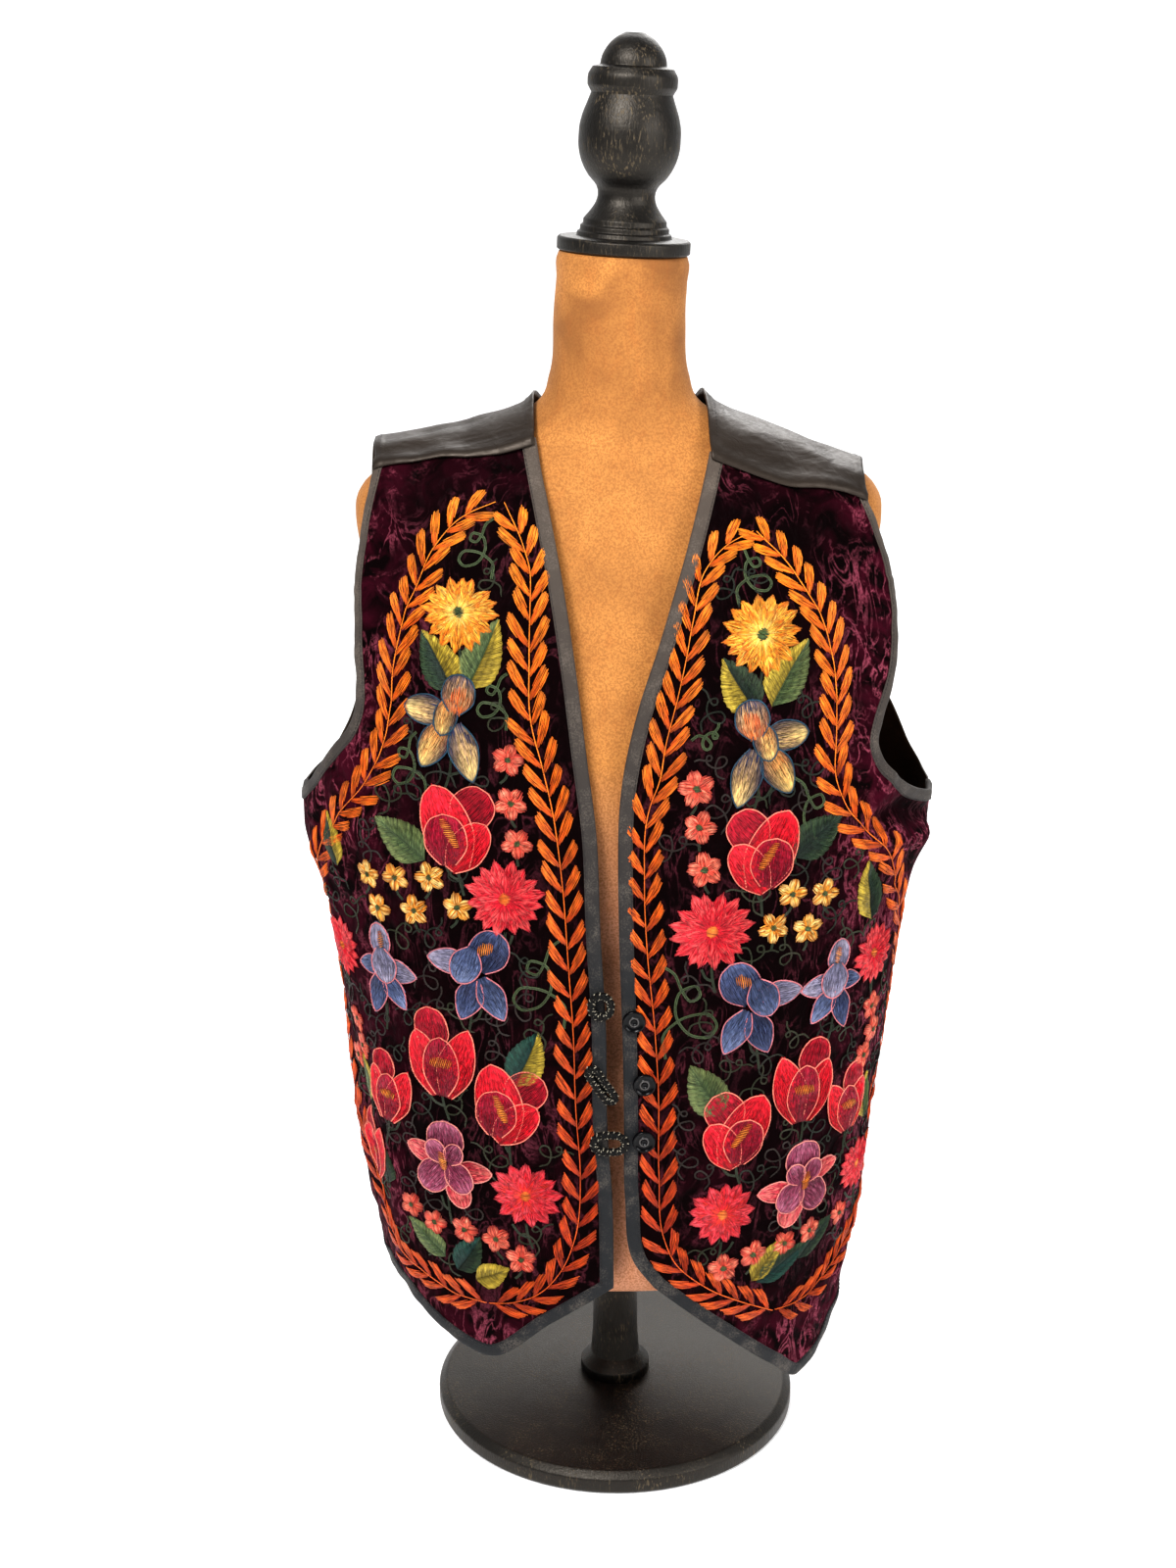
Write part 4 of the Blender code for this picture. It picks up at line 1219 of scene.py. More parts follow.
@dataclass(frozen=True)
class Garland:
    """The worked design of one front, with signed across values."""

    side: str
    flip: int
    vines: tuple[tuple[Spot, ...], ...]
    blooms: tuple[tuple[Bloom, float, float, float, float, int], ...]
    wheels: tuple[tuple[Wheel | tuple[float, float, float], ...], ...]
    leaves: tuple[tuple[float, float, float, float, float, int], ...]
    tendrils: tuple[tuple[float, float, float, float], ...]
    seed: int = 11

    # Pace of the vine's blades at four heights, and the reach of a flower without a wheel
    BLADE_HEIGHTS = (150, 200, 430, 570)
    BLADE_PACES = (15.0, 19.6, 19.6, 16.4)
    BLOOM_REACH = 27
    LEAF_SILKS = ((LEAF_DARK, LEAF_OLIVE), (LEAF_SAGE, LEAF_OLIVE), (LEAF_SAGE, LEAF_SAGE),
        (LEAF_TEAL, LEAF_DARK), (LEAF_OLIVE, LEAF_OLIVE), (LEAF_DARK, LEAF_DARK),
        (LEAF_TEAL, LEAF_OLIVE))

    def rounds(self) -> list[tuple[Wheel, float, float, float]]:
        """Each round flower with its place and size."""
        return [(wheel, *spot) for wheel, *spots in self.wheels for spot in spots]

    def vine_tone(self, up: float) -> Silk:
        """Orange of the vine, brighter towards the shoulder.

        Args:
            up: Height on the front.

        Returns:
            The blade's silk.
        """
        share = min(max((up - 150) / 560, (250 - up) / 340, 0), 1)
        low = np.array([(146, 34, 12), (188, 52, 18), (212, 76, 28)], float)
        high = np.array([(222, 98, 14), (244, 134, 24), (250, 152, 40)], float)
        return silk(*(low + (high - low) * share), streak=0.25, stitch=9.5)

    def sew_vine(self, needle: Needle, knots: Sequence[Spot]) -> None:
        """Sew a stem with paired slanting blades.

        Args:
            needle: Stitches of this front.
            knots: Spots from the root to the growing tip.
        """
        path = curve(knots, 600)
        run = running(path)
        away = across_unit(path)
        total = run[-1]
        pace = np.interp(path[1:, 1], self.BLADE_HEIGHTS, self.BLADE_PACES)
        beats = np.append(0, np.cumsum(np.diff(run) / pace))
        places = np.interp(np.arange(0.3, beats[-1] - 0.6), beats, run)
        for place in places:
            for side in (1, -1):
                at = place + (3.0 if side > 0 else 0.0)
                k = int(np.searchsorted(run, min(at, total - 1)))
                k = min(max(k, 2), len(path) - 3)
                way = path[k + 2] - path[k - 2]
                heading = math.degrees(math.atan2(way[1], way[0]))
                root = path[k] + away[k] * side * 0.9
                near_tip = min(1.0, 0.66 + (total - at) / 150)
                grow = needle.rng.uniform(0.93, 1.07) * near_tip
                high = min(max((path[k, 1] - 430) / 150, 0), 1)
                plump = 0.94 + 0.04 * high
                blade = Lobe((20.4 + 2.4 * high) * grow, tuple(w * plump
                    for w in (0.9, 2.1, 2.9, 3.4, 3.5, 2.9 - 0.6 * high)), bend=-side * 1.8,
                    fan=0.4, slant=-side * (0.13 - 0.08 * high), dome=0.6)
                turn = heading + side * (38 - 4 * high + needle.rng.normal(0, 2.4))
                petal = Petal((0, 0), turn, blade, self.vine_tone(path[k, 1]))
                needle.petal(petal, Placing(root[0], root[1]), 0.15)
        for part in np.array_split(np.arange(len(path)), 10):
            ends = slice(part[0], min(part[-1] + 2, len(path)))
            tone = np.array(self.vine_tone(float(path[part[0], 1])).tip) * 1.05
            needle.line(path[ends], 1, tuple(tone), 0.35, girth=0.5)

    def sew_wheel(self, needle: Needle, wheel: Wheel, on: Placing) -> None:
        """Sew a round flower.

        Args:
            needle: Stitches of this front.
            wheel: Its make.
            on: Its place.
        """
        rng = needle.rng
        rings = [(1.0, 0.0, 0.25)] + ([(wheel.inner, 0.5, 0.8)] if wheel.inner else [])
        for share, phase, layer in rings:
            count = wheel.count if share == 1.0 else round(wheel.count * 0.72)
            for k in range(count):
                heading = (k + phase) * 360 / count + rng.normal(0, 2.4)
                length = (wheel.radius * share - wheel.eye_radius * 0.6) * rng.uniform(0.93, 1.05)
                half = wheel.half * (1.0 if share == 1.0 else 0.92)
                blunt = wheel.blunt
                widths = (0.3 * half, 0.62 * half, 0.9 * half, half, (0.72 + 0.2 * blunt) * half,
                    (0.06 + 0.42 * blunt) * half)
                lobe = Lobe(length, widths, fan=0.5, dome=0.7)
                turn = math.radians(heading)
                root = (math.cos(turn) * wheel.eye_radius * 0.6,
                    math.sin(turn) * wheel.eye_radius * 0.6)
                needle.petal(Petal(root, heading, lobe, wheel.thread), on, layer)
        needle.disc(on, wheel.eye_radius, wheel.eye, 0.9)

    def sew_bloom(self, needle: Needle, kind: Bloom, on: Placing) -> None:
        """Sew a flower made of layered petals.

        Args:
            needle: Stitches of this front.
            kind: Which flower.
            on: Its place.
        """
        for number, petal in enumerate(kind.value):
            needle.petal(petal, on, 0.2 + 0.28 * number)
        needle.bars(on, *HEARTS[kind])

    @staticmethod
    def sew_tendril(needle: Needle, on: Placing, height: float, tone: Colour = TENDRIL_GREEN,
            rows: int = 3) -> None:
        """Sew a climbing curl.

        Args:
            needle: Stitches of this front.
            on: Middle of the curl.
            height: Height of the curl.
            tone: Thread colour.
            rows: Rows of stem stitch.
        """
        knots = np.array([(0.30, -0.50), (0.34, -0.28), (0.16, -0.10), (-0.22, -0.02),
            (-0.36, -0.16), (-0.24, -0.28), (0.02, -0.22), (0.18, 0.02), (0.14, 0.20),
            (-0.08, 0.28), (-0.14, 0.18), (-0.02, 0.12), (0.10, 0.24), (0.20, 0.42),
            (0.34, 0.50)]) * height
        bow = curve(knots, 160)
        path = on.spots(bow[:, 0] * 0.78, bow[:, 1])
        needle.line(path, rows, tone, 0.2, girth=0.44)
        if rows > 2:
            needle.line(path, 1, DIM_GREEN, 0.5, girth=0.3)

    def scrolls(self, rng: np.random.Generator) -> list[tuple[Spot, float, float]]:
        """Free spots between the motifs for dim little scrolls.

        Args:
            rng: Source of the tried spots.

        Returns:
            Place, turn and height of each scroll.
        """
        bounds = [np.array(sorted((up, abs(across)) for across, up in vine)) for vine in self.vines]
        taken = [(abs(u), v, self.BLOOM_REACH * size) for _, u, v, _, size, _ in self.blooms]
        taken += [(abs(u), v, wheel.radius * size) for wheel, u, v, size in self.rounds()]
        for across, up, heading, length, _, _ in self.leaves:
            turn = math.radians(heading)
            taken.append((abs(across) - math.cos(turn) * length / 2,
                up + math.sin(turn) * length / 2, length * 0.36))
        found = []
        for _ in range(1500):
            out, up = rng.uniform(30, 250), rng.uniform(170, 690)
            near, far = (np.interp(up, bound[:, 0], bound[:, 1]) for bound in bounds)
            if not near + 17 < out < far - 15:
                continue
            if all(math.hypot(out - u, up - v) > r + 6 for u, v, r in taken):
                taken.append((out, up, 13.0))
                found.append(((-self.flip * out, up), rng.uniform(-70, 70), rng.uniform(24, 36)))
        return found

    def feet(self) -> list[Array]:
        """Short curved stems that each flower stands on.

        Returns:
            Path of each stem and twig.
        """
        found = []
        spots = [(u, v, self.BLOOM_REACH * size, 24) for _, u, v, _, size, _ in self.blooms]
        spots += [(u, v, w.radius * size * 0.9, 20 if w.inner else 7) for w, u, v,
            size in self.rounds()]
        for number, (across, up, drop, length) in enumerate(spots):
            lean = 5.5 * math.sin(2.4 * number + self.seed)
            knots = ((across, up - drop), (across + lean * 0.3, up - drop - length * 0.5),
                (across + lean, up - drop - length))
            found.append(curve(knots, 40))
            if length > 10:
                twig = ((across + lean * 0.3, up - drop - length * 0.55),
                    (across - lean, up - drop - length * 0.45), (across - 2.2 * lean,
                    up - drop - length * 0.1))
                found.append(curve(twig, 30))
        return found

    def embroider(self, drape: Drape, loom: Loom, finish: Material) -> list[Piece]:
        """Sew the whole front.

        Args:
            drape: Cloth face.
            loom: Thread maker.
            finish: Silk material.

        Returns:
            One piece for each family of motifs.
        """
        needle = Needle(drape, self.seed)
        pieces = []
        for foot in self.feet():
            needle.line(foot, 3, DIM_GREEN, 0.1, girth=0.44)
        for number, (spot, turn, height) in enumerate(self.scrolls(needle.rng)):
            on = Placing(*spot, turn, 1.0, 1 - 2 * (number % 2))
            self.sew_tendril(needle, on, height, SCROLL_TONES[number % 3], 2)
        for across, up, height, turn in self.tendrils:
            self.sew_tendril(needle, Placing(across, up, turn, 1.0, self.flip), height)
        for across, up, heading, length, half, kind in self.leaves:
            on = Placing(across, up, heading, 1.0, self.flip)
            needle.leaf(on, length, half, 2.5, self.LEAF_SILKS[kind])
        pieces.append(needle.weave("leaves_" + self.side, loom, finish))
        for vine in self.vines:
            self.sew_vine(needle, vine)
        pieces.append(needle.weave("vine_" + self.side, loom, finish))
        for full, spread, name in ((True, 20, "daisies_"), (False, 72, "blossoms_")):
            for wheel, across, up, size in self.rounds():
                if bool(wheel.inner) == full:
                    turn = float(needle.rng.uniform(0, spread))
                    self.sew_wheel(needle, wheel, Placing(across, up, turn, size, self.flip))
            pieces.append(needle.weave(name + self.side, loom, finish))
        for families, name in (((Bloom.ROSE, Bloom.TULIP), "roses_"),
                ((Bloom.SLATE_IRIS, Bloom.PALE_IRIS, Bloom.CREAM_IRIS, Bloom.PANSY), "irises_")):
            for kind, across, up, turn, size, flip in self.blooms:
                if kind in families:
                    self.sew_bloom(needle, kind, Placing(across, up, turn, size, flip * self.flip))
            pieces.append(needle.weave(name + self.side, loom, finish))
        return pieces


RIGHT_GARLAND = Garland(
    side="right", flip=1, seed=11,
    vines=(((-96, 146), (-75, 151), (-56, 162), (-41, 181), (-31, 208), (-27, 258), (-30, 307),
        (-32, 371), (-35, 417), (-39, 477), (-46, 532), (-53, 563), (-60, 591), (-61, 632),
        (-60, 687), (-65, 711), (-78, 742)), ((-98, 146), (-121, 146), (-144, 153), (-170, 162),
        (-194, 184), (-216, 216), (-238, 262), (-252, 316), (-258, 370), (-256, 420), (-240, 470),
        (-212, 508), (-184, 537), (-166, 569), (-160, 597), (-158, 622), (-151, 650), (-140, 680),
        (-129, 706), (-108, 731), (-84, 742))),
    blooms=((Bloom.CREAM_IRIS, -115, 592, 0, 0.98, 1), (Bloom.ROSE, -112, 518, 0, 1.0, 1),
        (Bloom.PALE_IRIS, -176, 402, 0, 1.0, -1), (Bloom.SLATE_IRIS, -104, 412, 0, 1.0, 1),
        (Bloom.TULIP, -130, 343, 0, 1.05, 1), (Bloom.TULIP, -178, 305, -4, 0.86, 1),
        (Bloom.ROSE, -78, 313, -8, 0.98, 1), (Bloom.PANSY, -128, 256, 0, 0.98, 1),
        (Bloom.TULIP, -206, 246, 8, 0.82, 1)),
    wheels=((DAISY, (-109, 662, 0.98)), (RED_ASTER, (-79, 467, 1.02), (-226, 403, 0.86)),
        (CORAL_ASTER, (-66, 241, 1.02)), (CORAL_BLOSSOM, (-76, 565, 1.0), (-74, 535, 1.05),
        (-70, 507, 0.98)), (YELLOW_BLOSSOM, (-185, 471, 1.0), (-160, 474, 1.0), (-133, 478, 1.05),
        (-177, 447, 1.0), (-146, 451, 1.05), (-113, 458, 1.0)), (CORAL_BLOSSOM, (-160, 213, 0.92),
        (-140, 204, 0.92), (-114, 204, 1.0), (-89, 202, 1.0), (-70, 188, 1.05), (-217, 346, 1.0),
        (-211, 326, 1.0), (-226, 312, 0.95))),
    leaves=((-113, 608, 116, 46, 13.5, 0), (-104, 611, 62, 52, 13.0, 1),
        (-136, 490, 142, 46, 14.0, 2), (-74, 326, 64, 46, 13.0, 6), (-132, 176, 138, 40, 9.5, 2),
        (-122, 168, 54, 38, 11.0, 3), (-106, 164, 24, 30, 9.5, 4), (-216, 470, 100, 40, 8.0, 0),
        (-206, 282, 100, 36, 9.0, 1), (-184, 222, 96, 32, 10.0, 5)),
    tendrils=((-97, 708, 44, 0), (-86, 604, 38, 0), (-56, 404, 66, 4), (-148, 556, 44, 10)),
)
LEFT_GARLAND = Garland(
    side="left", flip=-1, seed=23,
    vines=(((119, 134), (91, 149), (65, 165), (41, 188), (33, 208), (29, 258), (28, 323),
        (25, 371), (19, 433), (17, 478), (21, 536), (26, 549), (31, 577), (38, 605), (44, 632),
        (49, 659), (57, 692), (71, 710), (90, 722)), ((121, 134), (148, 133), (176, 146),
        (200, 166), (226, 204), (244, 252), (252, 306), (252, 362), (240, 414), (219, 452),
        (200, 484), (179, 504), (160, 526), (150, 556), (151, 585), (149, 621), (142, 649),
        (127, 678), (110, 704), (92, 722))),
    blooms=((Bloom.CREAM_IRIS, 95, 576, 0, 1.0, 1), (Bloom.ROSE, 98, 503, 4, 0.98, 1),
        (Bloom.SLATE_IRIS, 98, 388, 0, 1.02, 1), (Bloom.PALE_IRIS, 160, 394, 0, 0.98, -1),
        (Bloom.ROSE, 84, 293, 10, 0.96, 1), (Bloom.TULIP, 138, 320, 4, 1.0, 1),
        (Bloom.TULIP, 182, 294, -4, 0.84, 1), (Bloom.PANSY, 139, 238, 0, 0.98, 1)),
    wheels=((DAISY, (96, 648, 1.02)), (RED_ASTER, (64, 444, 1.08), (200, 405, 0.84)),
        (CORAL_ASTER, (75, 225, 1.0)), (RED_ASTER, (200, 232, 0.78)),
        (CORAL_BLOSSOM, (52, 546, 1.18), (54, 519, 1.05), (58, 489, 1.12)),
        (YELLOW_BLOSSOM, (121, 467, 1.0), (146, 464, 1.0), (108, 443, 1.05), (134, 439, 1.05)),
        (CORAL_BLOSSOM, (77, 180, 1.08), (100, 187, 0.98), (126, 190, 0.95), (150, 193, 0.95),
        (183, 196, 0.9), (202, 362, 1.0), (206, 342, 1.0), (196, 324, 0.95))),
    leaves=((93, 596, 54, 44, 13.0, 0), (103, 600, 118, 50, 13.5, 1),
        (121, 494, 140, 44, 13.5, 5), (74, 304, 56, 46, 13.5, 2), (192, 434, 74, 50, 11.0, 0),
        (100, 164, 126, 40, 9.0, 4), (104, 162, 150, 50, 10.0, 3), (140, 172, 140, 42, 10.0, 5),
        (206, 268, 84, 40, 9.5, 1)),
    tendrils=((90, 690, 44, 0), (60, 580, 22, 60), (49, 384, 70, 0), (136, 520, 60, 0)),
)


class Dye:
    """Small helper that wires the nodes of one material."""

    def __init__(self, name: str, rough: float, colour: Colour) -> None:
        """Start a material.

        Args:
            name: Material name.
            rough: Roughness.
            colour: Linear base colour.
        """
        self.material = bpy.data.materials.new(name)
        self.material.use_nodes = True
        self.node = self.material.node_tree.nodes.new
        self.link = self.material.node_tree.links.new
        self.shader = self.material.node_tree.nodes["Principled BSDF"]
        self.shader.inputs["Roughness"].default_value = rough
        self.shader.inputs["Base Color"].default_value = (*colour, 1)
        self.material.diffuse_color = (*colour, 1)
        self.coords = self.node("ShaderNodeTexCoord").outputs["Object"]

    def set(self, **values: float | tuple[float, ...]) -> None:
        """Set even shader sockets by name, with underscores for spaces."""
        for name, value in values.items():
            self.shader.inputs[name.replace("_", " ")].default_value = value

    def stretch(self, scale: Sequence[float], turn: Sequence[float] = (0, 0, 0)) -> Socket:
        """Object coordinates scaled and turned.

        Args:
            scale: Scale on each axis.
            turn: Turn about each axis, in radians.

        Returns:
            Vector socket.
        """
        mapping = self.node("ShaderNodeMapping")
        mapping.inputs["Scale"].default_value = scale
        mapping.inputs["Rotation"].default_value = turn
        self.link(self.coords, mapping.inputs["Vector"])
        return mapping.outputs["Vector"]

    def noise(self, scale: float, detail: float = 3, distort: float = 0.0,
            coords: Socket | None = None) -> Socket:
        """Noise factor.

        Args:
            scale: Cells per metre.
            detail: Octaves.
            distort: Swirl.
            coords: Coordinates, the object's own if left out.

        Returns:
            Factor socket.
        """
        noise = self.node("ShaderNodeTexNoise")
        noise.inputs["Scale"].default_value = scale
        noise.inputs["Detail"].default_value = detail
        noise.inputs["Distortion"].default_value = distort
        self.link(coords or self.coords, noise.inputs["Vector"])
        return noise.outputs["Factor" if "Factor" in noise.outputs else "Fac"]

    def wave(self, scale: float, coords: Socket, distort: float = 0.0) -> Socket:
        """Sine bands along X of the given coordinates.

        Args:
            scale: Bands per metre.
            coords: Coordinates.
            distort: Swirl.

        Returns:
            Factor socket.
        """
        wave = self.node("ShaderNodeTexWave")
        wave.inputs["Scale"].default_value = scale
        wave.inputs["Distortion"].default_value = distort
        self.link(coords, wave.inputs["Vector"])
        return wave.outputs["Fac"]

    def ramp(self, factor: Socket, low: float, high: float) -> Socket:
        """Factor remapped so that low gives 0 and high gives 1.

        Args:
            factor: Factor to remap.
            low: Value that gives 0.
            high: Value that gives 1.

        Returns:
            Factor socket.
        """
        remap = self.node("ShaderNodeMapRange")
        remap.inputs["From Min"].default_value = low
        remap.inputs["From Max"].default_value = high
        self.link(factor, remap.inputs["Value"])
        return remap.outputs["Result"]

    def math(self, kind: str, one: Socket | float, two: Socket | float) -> Socket:
        """Result of a maths node on two values.

        Args:
            kind: Operation of the node.
            one: First value.
            two: Second value.

        Returns:
            Value socket.
        """
        node = self.node("ShaderNodeMath")
        node.operation = kind
        for socket, value in zip(node.inputs, (one, two)):
            if isinstance(value, (int, float)):
                socket.default_value = value
            else:
                self.link(value, socket)
        return node.outputs[0]

    def times(self, one: Socket | float, two: Socket | float) -> Socket:
        """Product of two values."""
        return self.math("MULTIPLY", one, two)

    def mix(self, factor: Socket, one: Socket | Colour, two: Socket | Colour,
            blend: str = "MIX") -> Socket:
        """Colour mixed by a factor.

        Args:
            factor: Share of the second colour.
            one: First colour.
            two: Second colour.
            blend: Blend type.

        Returns:
            Colour socket.
        """
        node = self.node("ShaderNodeMix")
        node.data_type = "RGBA"
        node.blend_type = blend
        self.link(factor, node.inputs["Factor"])
        for socket, value in zip((node.inputs[6], node.inputs[7]), (one, two)):
            if isinstance(value, tuple):
                socket.default_value = (*value, 1)
            else:
                self.link(value, socket)
        return node.outputs[2]

    def attribute(self, name: str) -> bpy.types.Node:
        """Attribute node of that name.

        Args:
            name: Name of the attribute.

        Returns:
            The node.
        """
        node = self.node("ShaderNodeAttribute")
        node.attribute_name = name
        return node

    def colour(self, socket: Socket) -> None:
        """Drive the base colour."""
        self.link(socket, self.shader.inputs["Base Color"])

    def rough(self, socket: Socket) -> None:
        """Drive the roughness."""
        self.link(socket, self.shader.inputs["Roughness"])

    def bump(self, *heights: tuple[Socket, float, float]) -> None:
        """Stack bumps, each a height socket, strength and distance in metres.

        Args:
            heights: Each bump, from the coarsest.
        """
        below = None
        for height, strength, distance in heights:
            node = self.node("ShaderNodeBump")
            node.inputs["Strength"].default_value = strength
            node.inputs["Distance"].default_value = distance
            self.link(height, node.inputs["Height"])
            if below is not None:
                self.link(below, node.inputs["Normal"])
            below = node.outputs["Normal"]
        self.link(below, self.shader.inputs["Normal"])


@dataclass(frozen=True)
class CrushedVelvet:
    """Wine pile with brighter crinkled streaks of painted sheen, where a per-vertex mask of painted
    sheen and shade is high.
    """

    deep: Colour = linear(9, 2, 3)
    wine: Colour = linear(58, 10, 26)
    # Painted sheen highlight colour of the crinkled streaks.
    bright: Colour = linear(172, 84, 104)

    def make(self) -> Material:
        """Build the material.

        Returns:
            The material.
        """
        dye = Dye("crushed_velvet", 0.72, self.wine)
        sheen_and_shade = dye.attribute("sheen_and_shade").outputs["Fac"]
        fold = dye.noise(34, 3, 1.6)
        crinkle = dye.noise(56, 4, 1.9, dye.stretch((1.0, 1.0, 0.42), (0.1, 0.35, 0.2)))
        ridge = dye.math("ABSOLUTE", dye.math("SUBTRACT", crinkle, 0.5), 0.0)
        vein = dye.ramp(ridge, 0.05, 0.006)
        speck = dye.noise(560, 2, 0.5)
        # The per-vertex mask lifts the wine patches towards the lit sides: painted sheen.
        wide = dye.math("SUBTRACT", dye.times(sheen_and_shade, 1.25), 0.10)
        patch = dye.times(dye.ramp(fold, 0.40, 0.60), wide)
        base = dye.mix(patch, self.deep, self.wine)
        # Painted sheen along the crinkle veins, and broader sheets of painted sheen below.
        sheen_streak = dye.times(vein, dye.math("ADD", dye.times(sheen_and_shade, 0.7), 0.06))
        sheen_streak = dye.times(sheen_streak, dye.ramp(dye.noise(27, 3), 0.42, 0.60))
        sheen_streak = dye.times(sheen_streak, dye.ramp(speck, 0.22, 0.58))
        base = dye.mix(sheen_streak, base, self.bright)
        sheet = dye.times(dye.ramp(dye.noise(40, 4, 2.2), 0.56, 0.66), dye.times(sheen_and_shade, sheen_and_shade))
        pile = dye.times(dye.ramp(speck, 0.36, 0.66), dye.times(sheet, 0.8))
        dye.colour(dye.mix(pile, base, self.bright))
        dye.rough(dye.math("SUBTRACT", 0.8, dye.times(vein, 0.2)))
        dye.set(Sheen_Weight=0.02, Sheen_Roughness=0.4, Sheen_Tint=(0.6, 0.12, 0.24, 1),
            Specular_IOR_Level=0.03)
        dye.bump((fold, 0.5, 0.005), (crinkle, 0.55, 0.003), (speck, 0.25, 0.0005))
        return dye.material


@dataclass(frozen=True)
class BackSatin:
    """Brown-black satin with fine weft lines and soft pulls."""

    dark: Colour = linear(36, 30, 26)
    light: Colour = linear(47, 40, 35)

    def make(self) -> Material:
        """Build the material.

        Returns:
            The material.
        """
        dye = Dye("black_satin", 0.52, self.dark)
        pull = dye.noise(20, 3, 0.5, dye.stretch((0.6, 1, 2.0)))
        weft = dye.noise(1500, 2, 0, dye.stretch((0.12, 0.12, 1.0)))
        small = dye.noise(90, 3, 0.8)
        dye.colour(dye.mix(dye.ramp(pull, 0.34, 0.74), self.dark, self.light))
        dye.rough(dye.ramp(dye.math("ADD", weft, small), -0.7, 3.2))
        dye.set(Specular_IOR_Level=0.34, Specular_Tint=(1.0, 0.86, 0.74, 1))
        dye.bump((pull, 0.45, 0.006), (small, 0.35, 0.0014), (weft, 0.22, 0.0002))
        return dye.material


@dataclass(frozen=True)
class TwillTape:
    """Dark cotton binding, painted lighter and browner towards the shoulders where the light falls.
    """

    low: Colour = linear(26, 28, 31)
    high: Colour = linear(82, 72, 64)

    def make(self) -> Material:
        """Build the material.

        Returns:
            The material.
        """
        dye = Dye("twill_tape", 0.8, self.low)
        split = dye.node("ShaderNodeSeparateXYZ")
        dye.link(dye.coords, split.inputs[0])
        # Lighter and browner higher up: painted light.
        rise = dye.ramp(split.outputs["Z"], 0.40, 0.74)
        twill = dye.wave(420, dye.stretch((1, 1, 1), (0, 0.78, 0)), 0.6)
        lint = dye.noise(900, 3, 0.4)
        wear = dye.noise(60, 4, 0.5)
        base = dye.mix(rise, self.low, self.high)
        shade = dye.mix(dye.times(dye.ramp(twill, 0, 1), 0.28), base, linear(36, 34, 34))
        dusty = dye.times(dye.ramp(dye.times(wear, lint), 0.24, 0.5), 0.3)
        dye.colour(dye.mix(dusty, shade, linear(150, 138, 126)))
        dye.rough(dye.ramp(lint, -1.6, 1.4))
        dye.set(Sheen_Weight=0.05, Specular_IOR_Level=0.25)
        dye.bump((twill, 0.3, 0.0003), (lint, 0.3, 0.0004), (wear, 0.2, 0.0015))
        return dye.material


@dataclass(frozen=True)
class EmbroiderySilk:
    """Glossy floss that takes each thread's own dye."""

    rough: float = 0.4

    def make(self) -> Material:
        """Build the material.

        Returns:
            The material.
        """
        dye = Dye("embroidery_silk", self.rough, (0.5, 0.2, 0.05))
        own = dye.attribute("thread_color").outputs["Color"]
        ply = dye.noise(1400, 2, 0.3)
        soil = dye.noise(46, 3)
        tone = dye.mix(dye.times(dye.ramp(ply, 0.35, 0.75), 0.35), own, (0.30, 0.22, 0.2),
            "MULTIPLY")
        dye.colour(dye.mix(dye.times(dye.ramp(soil, 0.45, 0.8), 0.12), tone, (0.12, 0.07, 0.06)))
        dye.rough(dye.ramp(ply, -0.8, 1.8))
        dye.set(Specular_IOR_Level=0.32)
        dye.bump((ply, 0.3, 0.0002))
        return dye.material


@dataclass(frozen=True)
class BraidedCord:
    """Rayon cord, each strand in its own colour: black strands with dull gold flecks, and thin pale
    threads on them that are painted highlights.
    """

    def make(self) -> Material:
        """Build the material.

        Returns:
            The material.
        """
        dye = Dye("braided_cord", 0.4, (0.03, 0.03, 0.03))
        own = dye.attribute("thread_color").outputs["Color"]
        fleck = dye.noise(700, 2, 0.2)
        dye.colour(dye.mix(dye.times(dye.ramp(fleck, 0.5, 0.7), 0.06), own, linear(96, 88, 70)))
        dye.rough(dye.ramp(fleck, -0.6, 1.6))
        dye.set(Specular_IOR_Level=0.22)
        dye.bump((fleck, 0.4, 0.0003))
        return dye.material


@dataclass(frozen=True)
class LiningCotton:
    """Plain dark lining inside the vest."""

    dark: Colour = linear(38, 30, 27)
    light: Colour = linear(70, 54, 46)

    def make(self) -> Material:
        """Build the material.

        Returns:
            The material.
        """
        dye = Dye("lining_cotton", 0.85, self.dark)
        across = dye.wave(330, dye.stretch((1, 1, 0)))
        along = dye.wave(330, dye.stretch((0, 1, 1), (0, 1.5708, 0)))
        weave = dye.times(across, along)
        cloud = dye.noise(20, 4, 0.6)
        dye.colour(dye.mix(dye.ramp(cloud, 0.35, 0.75), self.dark, self.light))
        dye.rough(dye.ramp(weave, -3.2, 2.0))
        dye.bump((cloud, 0.3, 0.003), (weave, 0.25, 0.0002))
        return dye.material


